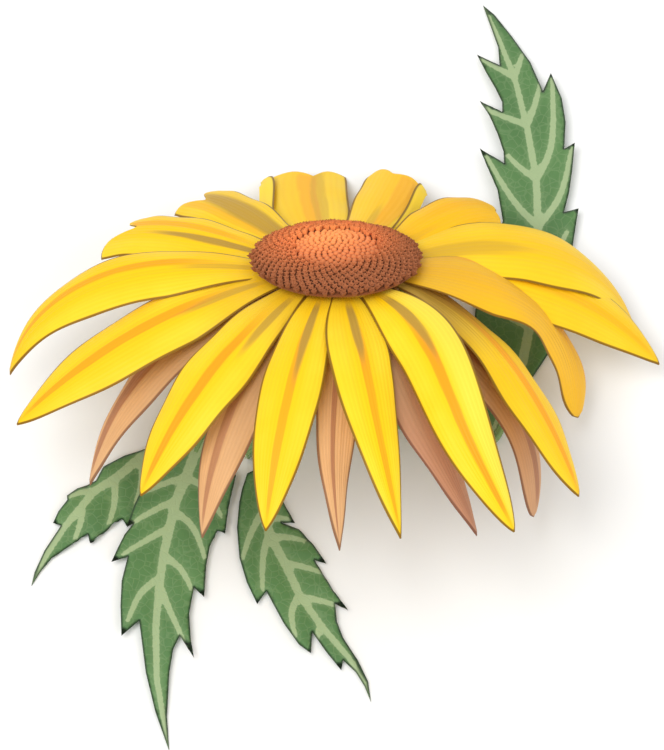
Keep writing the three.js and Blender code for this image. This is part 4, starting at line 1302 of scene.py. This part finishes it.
def make_disc():
    bed_drop = 0.75
    spiral_radius = DISC_RADIUS - 0.5
    outline = [(0, DISC_UNDERSIDE), (DISC_RADIUS - 2.2, DISC_UNDERSIDE), (DISC_RADIUS - 0.9, -0.5)]
    for share in np.linspace(1, 0, 25):
        height = DISC_DOME * (1 - share**2) - bed_drop * (1 - share**8)
        outline.append((spiral_radius * share, height))
    bed = build_mesh("disc bed", *lathe(outline, 96))
    piece = grow("disc_florets", bed, floret_tree(), floret_material(), {
        "Floret Count": 640, "Disc Radius": spiral_radius * MM, "Dome Height": (DISC_DOME - 0.35) * MM,
        "Floret Radius": 0.88 * MM, "Bud Share": 0.5, "Seed": 3,
    })
    piece.data.transform(head_matrix())
    declare(piece, "disc")


def make_cup():
    whorl_tree = bract_tree()
    finish = bract_material()
    outline = [(0, CUP_BOTTOM), (CUP_NECK_RADIUS, CUP_BOTTOM), (7.2, -13.4), (10.3, -11.8), (13, -10)]
    outline += [(14.6, -8.6), (CUP_RADIUS - 0.2, -7.5), (CUP_RADIUS, -6.9), (CUP_RADIUS - 0.3, CUP_TOP)]
    outline.append((0, CUP_TOP))
    body = build_mesh("cup body", *lathe(outline, 104, BRACTS_PER_WHORL, 0.012))
    pieces = [build_object("cup body", body, finish)]
    for number, whorl in enumerate(BRACT_WHORLS):
        empty = bpy.data.meshes.new("whorl")
        pieces.append(grow(f"bracts {number}", empty, whorl_tree, finish, {
            "Bract Count": BRACTS_PER_WHORL, "Root Radius": whorl["root"] * MM,
            "Root Height": (CUP_TOP - whorl["below"]) * MM, "Length": whorl["long"] * MM,
            "Width": whorl["wide"] * MM, "Root Pitch": math.radians(whorl["start"]),
            "Tip Pitch": math.radians(whorl["end"]), "Turn": whorl["turn"],
            "Thickness": 0.8 * MM, "Seed": 5 + number,
        }))
    piece = join("bract_whorls", pieces)
    piece = join("bract_whorls", [piece, hairs("bract hairs", piece, 0.5, 0.9, 4)])
    piece.data.transform(head_matrix())
    declare(piece, "bract_cup")


def make_stem():
    points = [bezier(STEM_CURVE, k / 60) for k in range(61)]
    piece = grow("hairy_stem", path_mesh("stem path", points), STALK, STEM_FINISH, {
        "Start Radius": STEM_TOP_RADIUS * MM, "End Radius": STEM_END_RADIUS * MM, "Sides": 72,
        "Rings": 120, "Ridges": 9.0, "Ridge Depth": 0.16 * MM, "Pith Depth": 0.5 * MM,
    })
    fuzz = hairs("stem hairs", piece, 0.8, 1.3, 6)
    declare(join("hairy_stem", [piece, fuzz]), "stem")


def make_leaf(name, leaf):
    blade = leaf_blade(f"{name} blade", leaf, LEAF_FINISH)
    start = bezier(STEM_CURVE, leaf["node"])
    points = catmull_rom([start, *leaf["petiole"], *leaf["rib"][:2]], 60)
    stalk = grow(f"{name} stalk", path_mesh("stalk path", points), STALK, STEM_FINISH, {
        "Start Radius": 1.5 * MM, "End Radius": 0.6 * MM, "Taper": 3.0, "Sides": 28, "Rings": 64,
        "Ridges": 5.0, "Ridge Depth": 0.05 * MM,
    })
    fuzz = hairs(f"{name} hairs", stalk, 0.9, 0.8, 8)
    declare(join(f"veined_{name}", [blade, stalk, fuzz]), name)


rays = petal_ring("yellow_rays", YELLOW_PETALS, YELLOW_COLLAR_TOP, yellow_petal_material())
declare(rays, "yellow_petals")
rays = petal_ring("tan_rays", TAN_PETALS, TAN_COLLAR_TOP, tan_petal_material())
declare(rays, "tan_petals")
make_disc()
make_cup()
make_stem()
for leaf_name, leaf in LEAVES.items():
    make_leaf(leaf_name, leaf)


# Floor, light and camera.
def make_floor():
    half = 3
    corners = [(x * half, y * half, 0) for x, y in ((-1, -1), (1, -1), (1, 1), (-1, 1))]
    mesh = bpy.data.meshes.new("table")
    mesh.from_pydata(corners, [], [(0, 1, 2, 3)])
    finish = plain_material("pale table", 0.8, 0.1, 3.0, FLOOR_WHITE, FLOOR_GREY)
    build_object("pale_table", mesh, finish)


def add_light(name, place, aim, size, power, tone=(1, 1, 1)):
    light = bpy.data.lights.new(name, "AREA")
    light.shape = "DISK"
    light.size = size
    light.energy = power
    light.color = tone
    lamp = bpy.data.objects.new(name, light)
    lamp.location = place
    lamp.rotation_euler = (Vector(aim) - Vector(place)).to_track_quat("-Z", "Y").to_euler()
    bpy.context.scene.collection.objects.link(lamp)


def make_light():
    head = HEAD_CENTRE * MM
    add_light("key light", (-0.4, -0.2, 1.2), head, 0.8, 9, (1, 1, 0.99))
    add_light("fill light", (0.7, -0.6, 1), head, 1, 3.8)
    world = bpy.data.worlds.new("studio")
    world.use_nodes = True
    world.node_tree.nodes["Background"].inputs["Color"].default_value = (1, 1, 1, 1)
    world.node_tree.nodes["Background"].inputs["Strength"].default_value = 0.7
    bpy.context.scene.world = world


def make_camera():
    height = math.radians(CAMERA_HEIGHT)
    towards = Vector((0, -math.cos(height), math.sin(height)))
    upward = Vector((0, math.sin(height), math.cos(height)))
    aim = HEAD_CENTRE + Vector((CAMERA_AIM_ACROSS, 0, 0)) - upward * CAMERA_AIM_DOWN
    lens = bpy.data.cameras.new("camera")
    lens.lens = CAMERA_LENS
    lens.clip_end = 10
    camera = bpy.data.objects.new("camera", lens)
    camera.location = (aim + towards * CAMERA_DISTANCE) * MM
    camera.rotation_euler = (math.radians(90 - CAMERA_HEIGHT), 0, 0)
    bpy.context.scene.collection.objects.link(camera)
    bpy.context.scene.camera = camera


make_floor()
make_light()
make_camera()
bpy.context.scene.view_settings.view_transform = "Standard"
